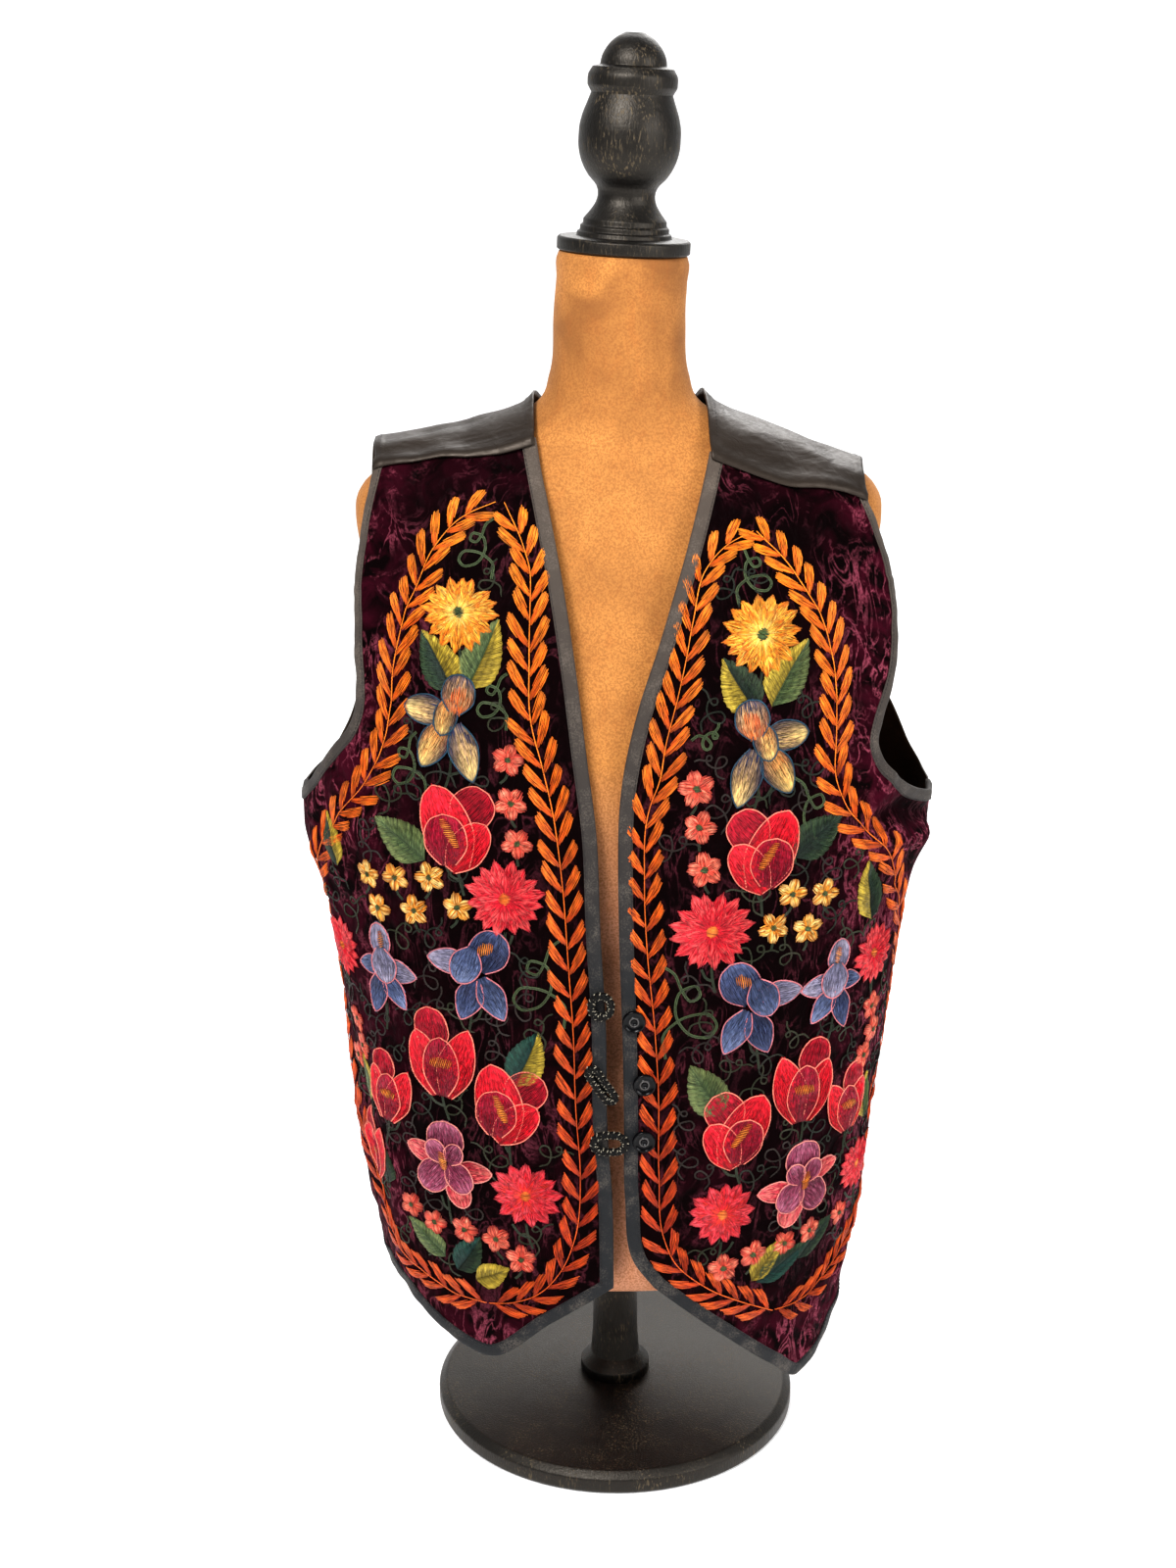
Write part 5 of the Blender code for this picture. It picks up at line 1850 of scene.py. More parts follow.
@dataclass(frozen=True)
class Suede:
    """Tan faux suede, brushed in clouds with a fine speckled nap, painted paler and pinker low down
    where the fronts shade it.
    """

    light: Colour = linear(195, 133, 71)
    dark: Colour = linear(134, 87, 46)
    # Painted light for the shaded slit between the fronts.
    low: Colour = linear(206, 148, 122)

    def make(self) -> Material:
        """Build the material.

        Returns:
            The material.
        """
        dye = Dye("tan_suede", 0.9, self.light)
        cloud = dye.noise(19, 5, 0.7)
        nap = dye.noise(700, 4, 0.4)
        split = dye.node("ShaderNodeSeparateXYZ")
        dye.link(dye.coords, split.inputs[0])
        # Paler and pinker below the chest, where the fronts shade the form: painted light.
        drop = dye.ramp(split.outputs["Z"], 0.56, 0.44)
        neck = dye.ramp(split.outputs["Z"], 0.74, 0.86)
        brushed = dye.noise(120, 3, 0.8, dye.stretch((1, 1, 0.4)))
        clouds = dye.times(dye.ramp(cloud, 0.36, 0.66), dye.math("ADD", dye.times(neck, 0.5), 0.4))
        base = dye.mix(clouds, self.light, self.dark)
        base = dye.mix(dye.times(drop, 0.8), base, self.low)
        base = dye.mix(dye.times(dye.ramp(brushed, 0.5, 0.8), 0.3), base, linear(172, 100, 48))
        dye.colour(dye.mix(dye.times(dye.ramp(nap, 0.42, 0.60), 0.55), base, linear(136, 86, 46)))
        dye.rough(dye.ramp(nap, -2.6, 1.3))
        dye.set(Sheen_Weight=0.10, Sheen_Roughness=0.5, Sheen_Tint=(1.0, 0.8, 0.6, 1),
            Specular_IOR_Level=0.2)
        dye.bump((cloud, 0.2, 0.003), (brushed, 0.2, 0.0008), (nap, 0.35, 0.0004))
        return dye.material


@dataclass(frozen=True)
class WornPaint:
    """Black painted turned wood, scratched along the grain; the pale bronze scratches are partly
    rubbed paint and partly painted glints.
    """

    paint: Colour = linear(4, 4, 5)
    wear_and_glint: Colour = linear(176, 154, 120)

    def make(self) -> Material:
        """Build the material.

        Returns:
            The material.
        """
        dye = Dye("worn_black_paint", 0.24, self.paint)
        grain = dye.noise(760, 4, 0.6, dye.stretch((1, 1, 0.22)))
        turn = dye.noise(300, 3, 0, dye.stretch((0.05, 0.05, 1)))
        wear = dye.noise(36, 5, 0.7)
        # Pale bronze scratches: rubbed paint, and painted highlight standing in for glints.
        scratch = dye.times(dye.ramp(grain, 0.56, 0.68), dye.ramp(wear, 0.42, 0.62))
        dye.colour(dye.mix(dye.times(scratch, 0.24), self.paint, self.wear_and_glint))
        dye.rough(dye.math("ADD", dye.ramp(grain, -1.2, 2.6), dye.times(scratch, 0.2)))
        dye.set(Specular_IOR_Level=0.5, Specular_Tint=(1.0, 0.9, 0.78, 1))
        dye.bump((wear, 0.12, 0.002), (turn, 0.16, 0.0006), (grain, 0.55, 0.0006))
        return dye.material


@dataclass(frozen=True)
class GlossButton:
    """Black pressed button with fine handling marks and a grey ring that is partly rubbed and
    partly painted highlight.
    """

    dark: Colour = linear(5, 5, 7)
    haze: Colour = linear(16, 16, 18)
    rubbed_and_highlight: Colour = linear(116, 112, 110)

    def make(self) -> Material:
        """Build the material.

        Returns:
            The material.
        """
        dye = Dye("gloss_button", 0.2, self.dark)
        mark = dye.noise(900, 4, 1.0, dye.stretch((1, 1, 0.3)))
        cloud = dye.noise(300, 3, 0.5)
        base = dye.mix(dye.times(dye.ramp(cloud, 0.5, 0.8), 0.5), self.dark, self.haze)
        # Grey on the raised ring: partly rubbed wear, partly painted highlight.
        ring = dye.times(dye.attribute("ring").outputs["Fac"], 0.5)
        dye.colour(dye.mix(ring, base, self.rubbed_and_highlight))
        dye.rough(dye.ramp(mark, -0.1, 3.2))
        dye.set(Specular_IOR_Level=0.2)
        dye.bump((cloud, 0.02, 0.0003), (mark, 0.03, 0.0001))
        return dye.material


@dataclass(frozen=True)
class PaleFloor:
    """Pale seamless studio paper."""

    tone: Colour = linear(246, 246, 246)

    def make(self) -> Material:
        """Build the material.

        Returns:
            The material.
        """
        dye = Dye("pale_floor", 0.9, self.tone)
        dye.colour(dye.mix(dye.noise(6, 3), self.tone, linear(243, 243, 243)))
        dye.set(Specular_IOR_Level=0.1, Emission_Color=(1, 1, 1, 1), Emission_Strength=0.26)
        return dye.material


class Wardrobe:
    """Every finish of the object, made once."""

    def __init__(self) -> None:
        """Make the materials."""
        self.velvet = CrushedVelvet().make()
        self.satin = BackSatin().make()
        self.tape = TwillTape().make()
        self.silk = EmbroiderySilk().make()
        self.cord = BraidedCord().make()
        self.lining = LiningCotton().make()
        self.suede = Suede().make()
        self.paint = WornPaint().make()
        self.button = GlossButton().make()


def settle(piece: Piece, slot: str, nodes: Iterable[str], *finishes: Material) -> Piece:
    """Dress a piece and tie it to the frame.

    Args:
        piece: The piece.
        slot: Slot name of its finish, not used.
        nodes: CAD nodes that it stands for.
        finishes: Materials in slot order, none if it has them already.

    Returns:
        The same piece.
    """
    if finishes:
        piece.data.materials.clear()
        for finish in finishes:
            piece.data.materials.append(finish)
    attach(piece, "root")
    if nodes:
        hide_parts(*nodes)
    LOG.info("%s: %d vertices", piece.name, len(piece.data.vertices))
    return piece


def edge_run(points: Sequence[Array]) -> Array:
    """Join polylines end to end without repeating their shared spots."""
    return np.vstack([points[0]] + [part[1:] for part in points[1:]])


@dataclass
class Binding:
    """Strip of tape folded over an edge of the cloth."""

    width: float = 9.0
    step: float = 2.4
    outer: float = 1.15
    wall: float = 0.75

    def profile(self) -> list[tuple[float, float]]:
        """Closed section as inset from the edge and height above the cloth.

        Returns:
            Inset and height of each corner.
        """
        under = -CLOTH - self.outer
        w = self.width
        return [(w, 0.12), (w - 0.25, 0.75), (w - 1.1, 1.02), (6.0, self.outer),
            (2.6, self.outer + 0.12), (0.3, self.outer), (-0.7, 0.45), (-1.1, -0.8), (-0.7, -2.1),
            (0.3, under), (4.0, under), (w - 0.6, under + 0.1), (w, under + 0.6),
            (w - 0.3, -CLOTH - 0.25), (0.35, -CLOTH - 0.25), (0.12, -0.8), (0.35, 0.12)]

    def inner_line(self, edge: Array, left: bool, corner: int | None) -> Array:
        """Spots a tape width inside the edge, mitred at a corner.

        Args:
            edge: Stations along the edge.
            left: Whether the cloth is to the left of it.
            corner: Station of a sharp corner, if any.

        Returns:
            One inner spot for each station.
        """
        side = 1.0 if left else -1.0
        if corner is None:
            return edge + across_unit(edge) * side * self.width
        first, second = edge[:corner + 1], edge[corner:]
        one, two = across_unit(first) * side, across_unit(second) * side
        mitre = edge[corner] + self.width * (one[-1] + two[0]) / (1 + float(one[-1] @ two[0]))
        cut = float(np.linalg.norm(mitre - (edge[corner] + one[-1] * self.width)))
        inner = np.vstack([first + one * self.width, (second + two * self.width)[1:]])
        run = running(edge)
        near = np.abs(run - run[corner]) < cut
        inner[near] = mitre
        return inner

    def fold(self, name: str, drape: Drape, edge: Array, left: bool, corner: Spot | None, sign: int,
            seed: int) -> Piece:
        """Fold the tape round an edge.

        Args:
            name: Piece name.
            drape: Cloth face.
            edge: Dense edge, across positive.
            left: Whether the cloth is to the left of it.
            corner: Sharp corner on the edge, if any.
            sign: Side of the body.
            seed: Seed of the puckers.

        Returns:
            The binding piece.
        """
        total = running(edge)[-1]
        places = np.linspace(0, total, max(4, int(total / self.step)))
        station = None
        if corner is not None:
            place = running(edge)[int(np.argmin(np.linalg.norm(edge - corner, axis=1)))]
            station = int(np.argmin(np.abs(places - place)))
            places[station] = place
        line = spaced(edge, places)
        inner = self.inner_line(line, left, station)
        flip = np.array([float(sign), 1.0])
        on_edge, on_inner = line * flip, inner * flip
        rng = np.random.default_rng(seed)
        wobble = np.convolve(rng.normal(0, 1, len(line) + 8), np.ones(5) / 5, "valid")[:len(line)]
        pucker = 0.16 * np.sin(places / 3.1 + 2 * wobble) + 0.22 * wobble
        edge_at = drape.at(on_edge)[0]
        inner_at, _ = drape.at(on_inner)
        inset = inner_at - edge_at
        inset /= np.maximum(np.linalg.norm(inset, axis=1, keepdims=True), 1e-9)
        rings = []
        for depth, height in self.profile():
            share = min(max(depth / self.width, 0.0), 1.0)
            at, out = drape.at(on_edge * (1 - share) + on_inner * share)
            puff = pucker * (0.5 if height > 0.3 else 0.0)
            point = at + out * (height + puff)[:, None]
            rings.append(point + inset * min(depth, 0.0))
        return skin(name, np.stack(rings, axis=1), False)


@dataclass
class Topstitch:
    """Row of short machine stitches beside an edge."""

    pitch: float = 3.0
    length: float = 2.1
    girth: float = 0.26

    def lines(self, drape: Drape, path: Array, lift: float, colour: Colour) -> tuple[Array, Array,
            Array, Array]:
        """Threads of one row.

        Args:
            drape: Cloth face.
            path: Signed spots that the row follows.
            lift: Height above the cloth.
            colour: Linear thread colour.

        Returns:
            Points, edges, girths and colours for the loom.
        """
        total = running(path)[-1]
        start = np.arange(1.0, total - self.length, self.pitch)
        places = (start[:, None] + np.linspace(0, self.length, 3)).ravel()
        at, out = drape.at(spaced(path, places))
        height = np.tile([-0.15, 0.16, -0.15], len(start)) + lift
        points = at + out * height[:, None]
        first = np.arange(len(start)) * 3
        edges = np.column_stack([first, first + 1, first + 1, first + 2]).reshape(-1, 2)
        return points, edges, np.full(len(points), self.girth), np.tile(colour, (len(points), 1))


def join_lines(parts: Sequence[tuple[Array, ...]]) -> tuple[Array, ...]:
    """Stack several sets of loom lines into one.

    Args:
        parts: Points, edges, girths and colours of each set.

    Returns:
        The same four, joined.
    """
    points, edges, girths, colours, count = [], [], [], [], 0
    for point, edge, girth, colour in parts:
        points.append(point)
        edges.append(edge + count)
        girths.append(girth)
        colours.append(colour)
        count += len(point)
    return tuple(np.concatenate(part) for part in (points, edges, girths, colours))


@dataclass
class VelvetFront:
    """One front: velvet panel, its bindings and its embroidery."""

    side: str
    cut: Cut
    garland: Garland
    corner: Spot
    flat: Spot

    def edges(self, drape: Drape) -> tuple[Array, ...]:
        """Dense inner, hem, armhole and seam edges.

        Args:
            drape: Front face.

        Returns:
            The four edges.
        """
        hem_up = self.cut.hem[-1][1] + 3
        hem = curve(self.cut.hem + ((drape.side_seam(hem_up), hem_up),), 500)
        arm = curve(((drape.side_seam(UNDERARM), UNDERARM),) + self.cut.armhole, 500)
        return curve(self.cut.inner, 500), hem, arm, curve(self.cut.seam, 300)

    @staticmethod
    def sheen_and_shade(spots: Array) -> Array:
        """Share of painted sheen at each spot, more towards the sides and armholes, along the hem
        and under the shoulder seam, and a little less on the right front.

        Args:
            spots: Signed across and up.

        Returns:
            Values from 0 to 1.
        """
        out = np.abs(spots[:, 0])
        side = np.clip((out - 118) / 95, 0, 1)
        low = np.clip((165 - spots[:, 1]) / 45, 0, 1) * 0.55
        arm = np.clip((out - 135) / 55, 0, 1) * np.clip((spots[:, 1] - 430) / 120, 0, 1)
        top = np.clip((spots[:, 1] - 735) / 25, 0, 1) * 0.22
        left = np.where(spots[:, 0] > 0, 1.0, 0.8)
        return np.clip(0.1 + (0.72 * side**1.3 + 0.35 * arm) * left + low + top, 0, 1)

    def build(self, drape: Drape, loom: Loom, wear: Wardrobe) -> list[Piece]:
        """Cut, bind and embroider the front.

        Args:
            drape: Front face.
            loom: Thread maker.
            wear: Finishes.

        Returns:
            All its pieces, the velvet first.
        """
        sign = self.cut.sign
        edges = self.edges(drape)
        sheet = Sheet(drape, edges)
        spots = sheet.grid.reshape(-1, 2) * np.array([float(sign), 1.0])
        outer, out = drape.at(spots)
        seam = np.interp(spots[:, 1], drape.up, drape.seam_across)
        near = np.clip(1 - (seam - np.abs(spots[:, 0])) / 3.0, 0, 1) * (spots[:, 1] < UNDERARM)
        outer = outer - out * (0.7 * near * near)[:, None]
        panel = cloth_shell("velvet_" + self.side, outer, out, sheet.faces(sign < 0), CLOTH)
        # Painted sheen on the fold ridges and painted shade in their troughs.
        relief = drape.read(drape.relief[..., None], spots)[:, 0]
        sheen_and_shade = self.sheen_and_shade(spots) + 0.10 * np.clip(relief, 0, 4)
        sheen_and_shade = np.clip(sheen_and_shade * np.clip(1 + relief / 7, 0.22, 1), 0, 1)
        rest = len(panel.data.vertices) - 2 * len(sheen_and_shade)
        set_values(panel, "sheen_and_shade", np.concatenate([sheen_and_shade, sheen_and_shade, np.full(rest, 0.3)]))
        settle(panel, "velvet", ["front_" + self.side], wear.velvet, wear.lining)
        inner, hem, arm, _ = edges
        front = edge_run([inner[::-1], hem])
        edge_tape = Binding().fold("tape_edge_" + self.side, drape, front, True, self.corner, sign,
            31)
        arm_tape = Binding(width=7.6).fold("tape_armhole_" + self.side, drape, arm, True, None,
            sign, 37)
        settle(edge_tape, "tape", ["binding_edge_" + self.side], wear.tape)
        settle(arm_tape, "tape", ["binding_armhole_" + self.side], wear.tape)
        rows = []
        flip = np.array([float(sign), 1.0])
        for line, inset_by in ((front, 7.8), (arm, 6.4)):
            dense = spaced(line, np.linspace(4, running(line)[-1] - 2, 400))
            inset = dense + across_unit(dense) * inset_by
            rows.append(Topstitch().lines(drape, inset * flip, 1.15, linear(34, 32, 34)))
        stitches = loom.weave("topstitch_" + self.side, *join_lines(rows), wear.silk)
        settle(stitches, "tape", [])
        sewn = self.garland.embroider(drape, loom, wear.silk)
        for piece in sewn:
            settle(piece, "velvet", [])
        area = sheet.area()
        return [panel, edge_tape, arm_tape, stitches] + sewn


@dataclass
class SatinBack:
    """One-piece back with straps that lap over the fronts at the shoulders."""

    flat: Spot = (0.592, 0.752)
    turned_edge: float = 6.0

    def half(self, drape: Drape, cut: Cut,
            armhole: tuple[Spot, ...]) -> tuple[Sheet, tuple[Array, ...]]:
        """Lay out half of the back.

        Args:
            drape: Back face.
            cut: Front cut on the same side, for its shoulder seam.
            armhole: Back armhole from the underarm up.

        Returns:
            The half's grid and its edges.
        """
        turned = tuple((u, OVER_SHOULDER - v + STRAP_LAP) for u, v in cut.seam)
        centre = curve(BACK_CENTRE, 400)
        neck = curve(BACK_NECK + (turned[0],), 300)
        hem_up = BACK_HEM[-1][1] + 3
        hem = curve(BACK_HEM + ((drape.side_seam(hem_up), hem_up),), 400)
        start = (drape.side_seam(UNDERARM), UNDERARM)
        arm = curve((start,) + armhole + (turned[-1],), 500)
        edges = (edge_run([centre, neck]), hem, arm, curve(turned, 300))
        return Sheet(drape, edges, (134, BACK_CENTRE[-1][1] - BACK_CENTRE[0][1])), edges

    def build(self, drape: Drape, loom: Loom, wear: Wardrobe) -> list[Piece]:
        """Cut the back, bind its hem and sew its turned edges.

        Args:
            drape: Back face.
            loom: Thread maker.
            wear: Finishes.

        Returns:
            Its pieces, the satin first.
        """
        halves = [(self.half(drape, RIGHT_CUT, RIGHT_BACK_ARMHOLE), -1),
            (self.half(drape, LEFT_CUT, LEFT_BACK_ARMHOLE), 1)]
        spots, index, faces, lifts, area = [], {}, [], [], 0.0
        rows = []
        for (sheet, edges), sign in halves:
            area += sheet.area()
            flip = np.array([float(sign), 1.0])
            signed = sheet.grid.reshape(-1, 2)
            rise = self.rise(signed, edges, drape)
            names = []
            for spot, lift in zip(signed * flip, rise):
                key = (round(float(spot[0]), 2) + 0.0, round(float(spot[1]), 2))
                if key not in index:
                    index[key] = len(spots)
                    spots.append(spot)
                    lifts.append(lift)
                names.append(index[key])
            for quad in sheet.faces(sign > 0):
                face = tuple(names[i] for i in quad)
                if len(set(face)) == 4:
                    faces.append(face)
            for line, left in ((edges[0][400:], False), (edges[2], True)):
                inset = line + across_unit(line) * (5.0 if left else -5.0)
                rows.append((inset[6:-14]) * flip)
        outer, out = drape.at(np.array(spots))
        outer = outer + out * np.array(lifts)[:, None]
        panel = cloth_shell("satin_back", outer, out, faces, CLOTH)
        settle(panel, "satin", ["back"], wear.satin, wear.lining)
        left, right = halves[1][0][1][1], halves[0][0][1][1]
        hem = np.vstack([(right * np.array([-1.0, 1.0]))[::-1], left[1:]])
        tape = Binding().fold("tape_hem_back", drape, hem, True, None, 1, 41)
        settle(tape, "tape", ["binding_hem_back"], wear.tape)
        threads = [Topstitch().lines(drape, row, 0.3, linear(30, 27, 25)) for row in rows]
        inset = hem + across_unit(hem) * 7.8
        threads.append(Topstitch().lines(drape, inset[6:-6], 1.15, linear(34, 32, 34)))
        stitches = loom.weave("topstitch_back", *join_lines(threads), wear.silk)
        settle(stitches, "satin", [])
        return [panel, tape, stitches]

    def rise(self, spots: Array, edges: tuple[Array, ...], drape: Drape) -> Array:
        """Height of the turned edges and of the shoulder lap.

        Args:
            spots: Grid spots, across positive.
            edges: Edges of the half.
            drape: Back face.

        Returns:
            Millimetres above the face at each spot.
        """
        far = np.full(len(spots), 1e9)
        for line in (edges[0][400::4], edges[2][::4]):
            gap = np.hypot(spots[:, :1] - line[:, 0], spots[:, 1:] - line[:, 1]).min(axis=1)
            far = np.minimum(far, gap)
        ridge = 0.45 * np.clip((self.turned_edge + 1 - far) / 1.5, 0, 1)
        seam = edges[3][::3]
        gap = np.hypot(spots[:, :1] - seam[:, 0], spots[:, 1:] - seam[:, 1]).min(axis=1)
        lap = np.clip((13 - gap) / 8, 0, 1)
        lap = lap * lap * (3 - 2 * lap) * 2.9
        side = np.interp(spots[:, 1], drape.up, drape.seam_across)
        near = np.clip(1 - (side - spots[:, 0]) / 3.0, 0, 1) * (spots[:, 1] < UNDERARM)
        return ridge + lap - 0.7 * near * near


@dataclass
class DressForm:
    """Limbless suede form that carries the vest."""

    sides: int = 128
    rows: int = 190

    def build(self, wear: Wardrobe) -> list[Piece]:
        """Loft the form, its neck leaning a little.

        Args:
            wear: Finishes.

        Returns:
            The form.
        """
        levels = np.array(FORM_SECTIONS)[:, 0]
        low = np.linspace(levels[0] + 4, levels[-1] - 1, self.rows)
        heights = np.concatenate([[levels[0], levels[0] + 1.5], low, [levels[-1]]])
        angle = np.arange(self.sides) * 2 * math.pi / self.sides
        sine, cosine = np.sin(angle), np.cos(angle)
        rings = []
        for height, row in zip(heights, smooth_table(FORM_SECTIONS, heights)):
            half, front, back, power = row
            x = half * np.sign(sine) * np.abs(sine) ** (2 / power)
            y = np.where(cosine > 0, -front, back) * np.abs(cosine) ** (2 / power)
            rise = max(height - TILT_FROM, 0.0)
            lean = TILT * min(rise / 25.0, 1.0)
            z = height - rise + rise * math.cos(lean) - x * math.sin(lean)
            rings.append(np.column_stack([x * math.cos(lean) + rise * math.sin(lean), y, z]))
        form = skin("form_body", np.stack(rings), False)
        return [settle(form, "suede", ["dress_form"], wear.suede)]


@dataclass
class Turning:
    """Shape turned on a lathe from a profile of radius and height."""

    profile: tuple[Spot, ...]
    sides: int = 72
    ease: float = 0.55

    def rings(self) -> Array:
        """Rings of the turning with its arrises eased.

        Returns:
            (sections, sides, 3) points.
        """
        body = [np.array(spot, float) for spot in self.profile[1:-1]]
        eased = [body[0]]
        for before, spot, after in zip(body, body[1:], body[2:]):
            reach = []
            for other in (before, after):
                size = float(np.linalg.norm(other - spot))
                reach.append(spot + (other - spot) * min(self.ease / size, 0.3))
            middle = (reach[0] + reach[1] + 2 * spot) / 4
            eased += [reach[0], middle, reach[1]]
        eased.append(body[-1])
        angle = np.arange(self.sides) * 2 * math.pi / self.sides
        return np.stack([np.column_stack([np.cos(angle) * r, np.sin(angle) * r,
            np.full(self.sides, h)]) for r, h in eased])

    def turned(self, name: str) -> Piece:
        """Make the closed piece upright at the origin."""
        return skin(name, self.rings(), False)


def place_mesh(piece: Piece, turn: Array, to: Array) -> None:
    """Turn and move a piece's mesh, leaving the object at the origin.

    Args:
        piece: The piece.
        turn: 3 x 3 rotation.
        to: New place of the old origin, in millimetres.
    """
    count = len(piece.data.vertices)
    spots = np.empty(count * 3)
    piece.data.vertices.foreach_get("co", spots)
    moved = spots.reshape(-1, 3) @ turn.T + np.asarray(to) * MM
    piece.data.vertices.foreach_set("co", moved.ravel())
    piece.data.update()


@dataclass
class Stand:
    """Painted finial, post and base."""

    finial: tuple[Spot, ...] = ((0, 0.3), (43.5, 0.3), (45.6, 1.6), (45.6, 8.8), (44.2, 10.2),
        (32.6, 10.6), (32.2, 13.4), (30.4, 14.4), (30.4, 17.4), (28.6, 18.8), (28.4, 22),
        (23.6, 28), (20.2, 34), (19.4, 39), (20.6, 43.5), (26.4, 50), (31.6, 59), (34.2, 69),
        (34.4, 79), (32.8, 89), (29.6, 98), (27.4, 104), (28.2, 105.2), (30.2, 109.5),
        (30.0, 115.5), (27.2, 120.6), (22.4, 122), (21.8, 126), (18.6, 133), (12.6, 139.4),
        (6.4, 143), (0, 144))
    post: tuple[Spot, ...] = ((0, 22.3), (27, 22.3), (27, 30), (19, 38), (17.5, 60), (17.5, 138),
        (21, 143), (21, 149.7), (0, 149.7))
    base: tuple[Spot, ...] = ((0, 0), (138, 0), (140, 2), (140, 12), (134, 17), (60, 20), (30, 22),
        (0, 22))

    @staticmethod
    def softened(profile: tuple[Spot, ...], first: int, last: int) -> tuple[Spot, ...]:
        """Profile whose rows from first to last follow one smooth curve.

        Args:
            profile: Radius and height of each row.
            first: First row of the curve.
            last: Last row of the curve.

        Returns:
            The profile with the curve in place.
        """
        bow = curve([(h, r) for r, h in profile[first:last + 1]], 34)
        middle = tuple((float(r), float(h)) for h, r in bow)
        return profile[:first] + middle + profile[last + 1:]

    def build(self, wear: Wardrobe) -> list[Piece]:
        """Turn the three pieces.

        Args:
            wear: Finishes.

        Returns:
            Finial, post and base.
        """
        smooth = self.softened(self.softened(self.softened(self.finial, 26, 30), 22, 25), 10, 21)
        finial = Turning(smooth, 88).turned("painted_finial")
        c, s = math.cos(TILT), math.sin(TILT)
        rise = FORM_SECTIONS[-1][0] - TILT_FROM
        place_mesh(finial, np.array([[c, 0, s], [0, 1, 0], [-s, 0, c]]),
            np.array([rise * s, 0, TILT_FROM + rise * c]))
        post = Turning(self.post, 56).turned("painted_post")
        base = Turning(self.base, 120, 1.2).turned("painted_base")
        return [settle(finial, "turned_wood", ["finial"], wear.paint),
            settle(post, "turned_wood", ["stand_post"], wear.paint),
            settle(base, "turned_wood", ["stand_base"], wear.paint)]


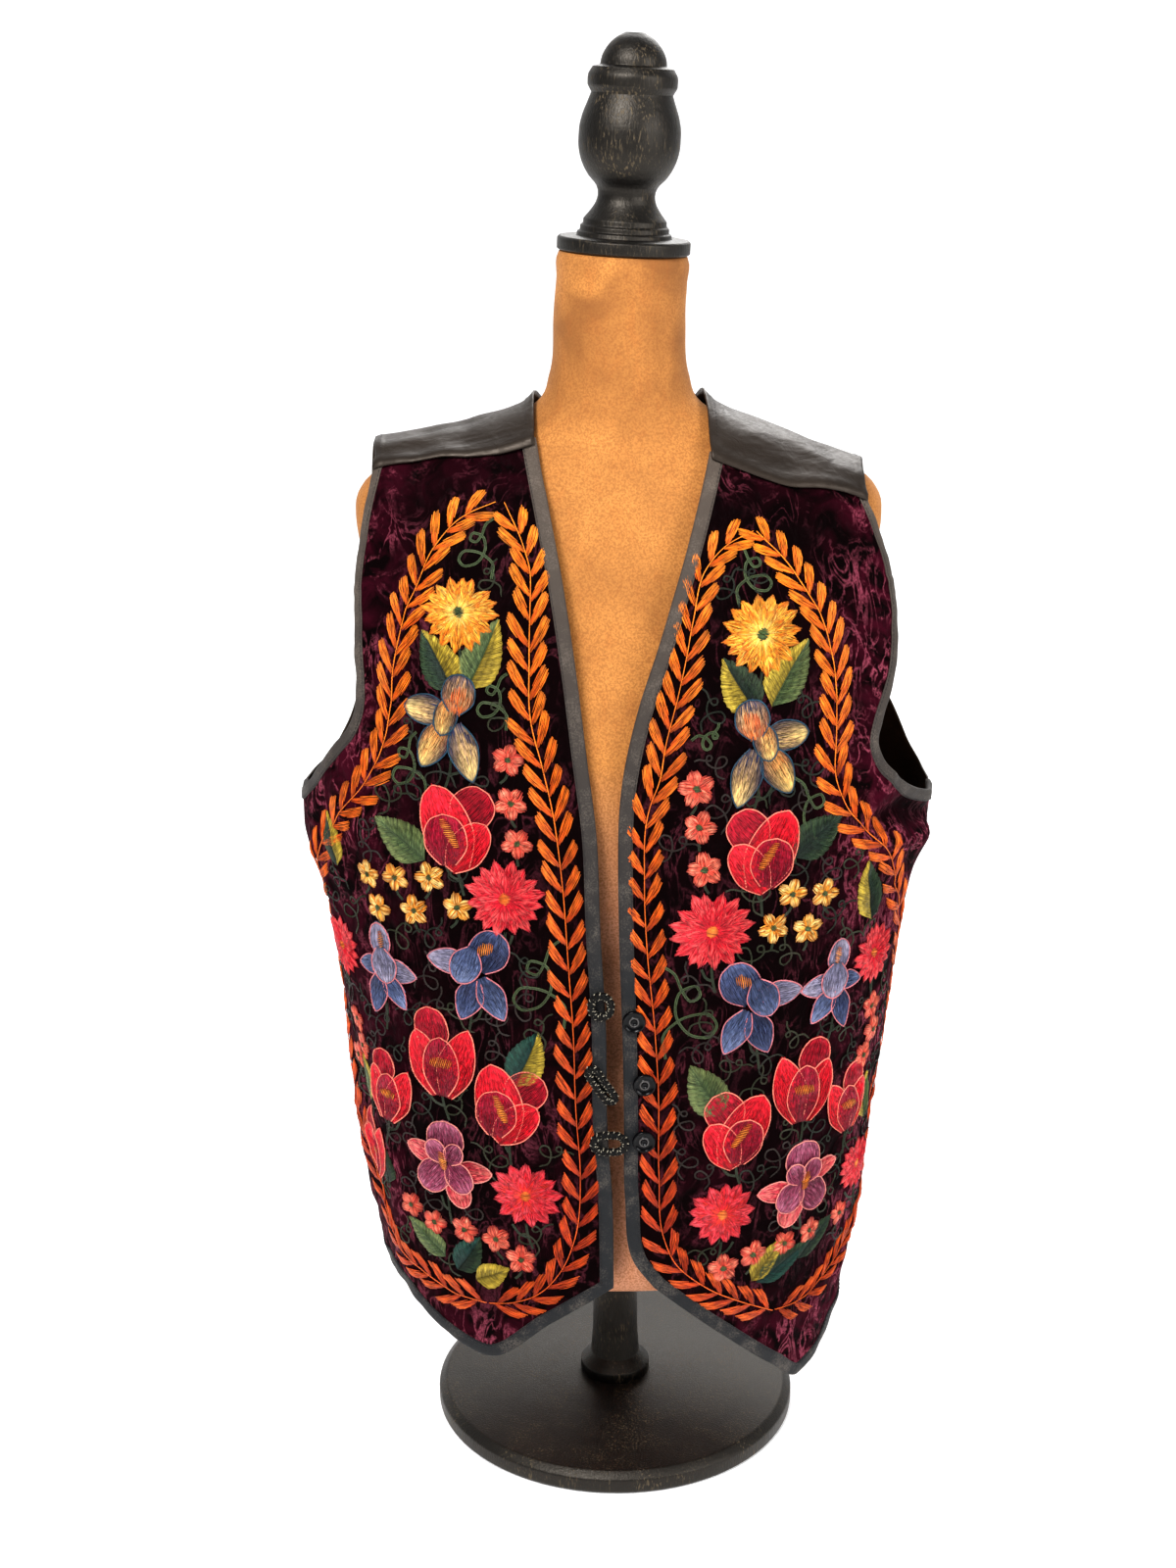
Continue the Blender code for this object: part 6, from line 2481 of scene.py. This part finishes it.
@dataclass
class Closures:
    """Cord loops on the right edge and buttons on the left."""

    loops: tuple[tuple[str, float, float, float, float, float],
        ...] = (("frog_loop_top", -12.5, 391, 1.2, 6.6, 90),
        ("frog_loop_middle", -12.0, 331, 11.0, 3.3, -56), ("frog_loop_bottom", -6.5, 286, 4.6, 6.4,
        0))
    buttons: tuple[tuple[str, float, float], ...] = (("button_top", 10.5, 379),
        ("button_middle", 18, 331), ("button_bottom", 18, 287))
    button_profile: tuple[Spot, ...] = ((0, 0), (5.8, 0), (7.4, 0.5), (8.2, 1.5), (8.2, 2.6),
        (7.6, 3.5), (6.9, 3.6), (6.1, 3.0), (4.9, 2.5), (4.1, 2.4), (3.7, 2.7), (3.3, 3.2),
        (2.7, 3.2), (2.2, 2.6), (1.5, 2.0), (0.7, 1.8), (0, 1.8))
    cord_radius: float = 2.7
    strands: int = 4

    def cord_lines(self, drape: Drape, across: float, up: float, straight: float, bend: float,
            slant: float) -> tuple[Array, Array, Array, Array]:
        """Plaited strands of one loop, with thin pale threads on every second strand as painted
        highlights.

        Args:
            drape: Front face.
            across: Signed across of the middle.
            up: Height of the middle.
            straight: Half length of the straight part.
            bend: Bend radius.
            slant: Turn in degrees.

        Returns:
            Points, edges, girths and colours for the loom.
        """
        turn = np.linspace(0, 2 * math.pi, 241)[:-1]
        flat = np.column_stack([np.cos(turn) * bend + np.tanh(4 * np.cos(turn)) * straight,
            np.sin(turn) * bend])
        s, c = math.sin(math.radians(slant)), math.cos(math.radians(slant))
        path = flat @ np.array([[c, s], [-s, c]]) + np.array([across, up])
        ring = np.vstack([path, path[:1]])
        total = running(ring)[-1]
        count = 180
        even = spaced(ring, np.linspace(0, total, count + 1)[:-1])
        at, out = drape.at(even)
        way = np.roll(at, -1, axis=0) - np.roll(at, 1, axis=0)
        way /= np.linalg.norm(way, axis=1, keepdims=True)
        cross = np.cross(way, out)
        middle = at + out * (1.4 + self.cord_radius)
        turns = max(4, round(total / 7.0))
        phase = np.arange(count) / count * 2 * math.pi * turns
        parts = []
        for way_round in (1, -1):
            for k in range(self.strands):
                angle = way_round * phase + 2 * math.pi * k / self.strands
                weave = np.cos(self.strands * phase + math.pi * k
                    + (0 if way_round > 0 else math.pi))
                radius = (1.95 + 0.4 * weave)[:, None]
                points = middle + radius * (np.cos(angle)[:, None] * cross + np.sin(angle)[:, None]
                    * out)
                first = np.arange(count)
                edges = np.column_stack([first, np.roll(first, -1)])
                # Pale threads riding on the strand crowns: painted highlights.
                highlight_line = middle + (radius + 0.62) * (points - middle) / radius
                dash = 0.34 * np.clip(np.sin(3 * phase + 2.1 * k), 0.03, 1) ** 1.5
                for at_line, girth, tone in ((points, np.full(count, 0.76), linear(4, 4, 4)),
                        (highlight_line, dash, linear(186, 178, 158)))[:2 - k % 2]:
                    parts.append((at_line, edges, girth, np.tile(tone, (count, 1))))
        return join_lines(parts)

    def build(self, drape: Drape, loom: Loom, wear: Wardrobe) -> list[Piece]:
        """Make the loops and the buttons.

        Args:
            drape: Front face.
            loom: Thread maker.
            wear: Finishes.

        Returns:
            Six pieces.
        """
        pieces = []
        for node, *shape in self.loops:
            lines = self.cord_lines(drape, *shape)
            cord = loom.weave("braid_" + node[5:], *lines, wear.cord, sides=6)
            pieces.append(settle(cord, "cord", [node]))
        for node, across, up in self.buttons:
            at, out = drape.at(np.array([(across, up)]))
            out = out[0]
            side = np.cross(out, [0, 0, 1.0])
            side /= np.linalg.norm(side)
            turn = np.column_stack([side, np.cross(out, side), out])
            button = Turning(self.button_profile, 56, 0.25).turned("pressed_" + node)
            spots = np.array([vertex.co for vertex in button.data.vertices]) / MM
            # Mask of the raised ring's grey, partly rubbed and partly painted highlight.
            rub_and_highlight_mask = np.exp(-((np.hypot(spots[:, 0], spots[:, 1]) - 3.1) / 0.55) ** 2)
            set_values(button, "ring", rub_and_highlight_mask * (spots[:, 2] > 2.2))
            place_mesh(button, turn, at[0] + out * 1.45)
            pieces.append(settle(button, "button", [node], wear.button))
        return pieces


@dataclass
class Studio:
    """Seamless pale paper, soft lights and the camera."""

    place: tuple[float, float, float] = (-0.0215, -1.58, 1.017)
    tilt: float = 17.8
    lens: float = 51.975

    def build(self) -> None:
        """Set up floor, world, lights and camera."""
        self.paper()
        self.light("key", (-0.9, -1.9, 2.5), 1.1, 62)
        self.light("spark", (-0.75, -1.5, 2.35), 0.36, 15)
        self.light("fill", (1.9, -1.5, 1.5), 1.4, 34)
        self.light("back", (0.4, 2.0, 2.3), 1.6, 42)
        world = bpy.data.worlds.new("studio")
        world.use_nodes = True
        world.node_tree.nodes["Background"].inputs["Color"].default_value = (1, 1, 1, 1)
        world.node_tree.nodes["Background"].inputs["Strength"].default_value = 0.3
        bpy.context.scene.world = world
        bpy.context.scene.view_settings.view_transform = "Standard"
        bpy.context.scene.view_settings.look = "Medium High Contrast"
        data = bpy.data.cameras.new("camera")
        data.sensor_width = 36.0
        data.lens = self.lens
        camera = bpy.data.objects.new("camera", data)
        camera.location = self.place
        camera.rotation_euler = (math.radians(90 - self.tilt), 0, 0)
        bpy.context.scene.collection.objects.link(camera)
        bpy.context.scene.camera = camera

    def paper(self) -> None:
        """Lay floor paper that sweeps up behind the object."""
        bow = [(-6.0, 0.0), (2.6, 0.0)]
        bow += [(2.6 + 1.2 * math.sin(a), 1.2 - 1.2 * math.cos(a))
            for a in np.linspace(0.1, math.pi / 2, 14)]
        bow.append((3.8, 6.0))
        points = [(x * 1000, y * 1000, z * 1000 - 0.4) for y, z in bow for x in (-7, 7)]
        faces = [(2 * k, 2 * k + 1, 2 * k + 3, 2 * k + 2) for k in range(len(bow) - 1)]
        floor = add_mesh("floor", np.array(points), faces)
        floor.data.materials.append(PaleFloor().make())
        floor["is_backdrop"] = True

    @staticmethod
    def light(name: str, place: tuple[float, float, float], size: float, power: float) -> None:
        """Add a soft area light that looks at the vest.

        Args:
            name: Light name.
            place: Where it hangs, in metres.
            size: Side of the square.
            power: Watts.
        """
        data = bpy.data.lights.new(name, "AREA")
        data.size = size
        data.energy = power
        lamp = bpy.data.objects.new(name, data)
        lamp.location = place
        way = np.array([0, 0, 0.55]) - np.array(place)
        flat = math.hypot(way[0], way[1])
        lamp.rotation_euler = (math.atan2(flat, -way[2]), 0, math.atan2(-way[0], way[1]))
        bpy.context.scene.collection.objects.link(lamp)


def main() -> None:
    """Build the vest, its form and stand, and the studio."""
    logging.basicConfig(level=logging.INFO, format="%(name)s %(message)s")
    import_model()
    cad_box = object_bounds()
    Studio().build()
    wear = Wardrobe()
    front, back = Drape(Face.FRONT, FRONT_FOLDS), Drape(Face.BACK, BACK_FOLDS)
    loom = Loom("thread_loom")
    DressForm().build(wear)
    Stand().build(wear)
    right = VelvetFront("right", RIGHT_CUT, RIGHT_GARLAND, (4, 168), (0.298, 0.694))
    left = VelvetFront("left", LEFT_CUT, LEFT_GARLAND, (27, 168), (0.298, 0.724))
    right.build(front, loom, wear)
    left.build(front, loom, wear)
    SatinBack().build(back, loom, wear)
    Closures().build(front, loom, wear)
    boxes = {"cad": cad_box, "visual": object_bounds()}
    plain = {name: [[float(c) for c in corner] for corner in box] for name, box in boxes.items()}


if __name__ == "__main__":
    main()
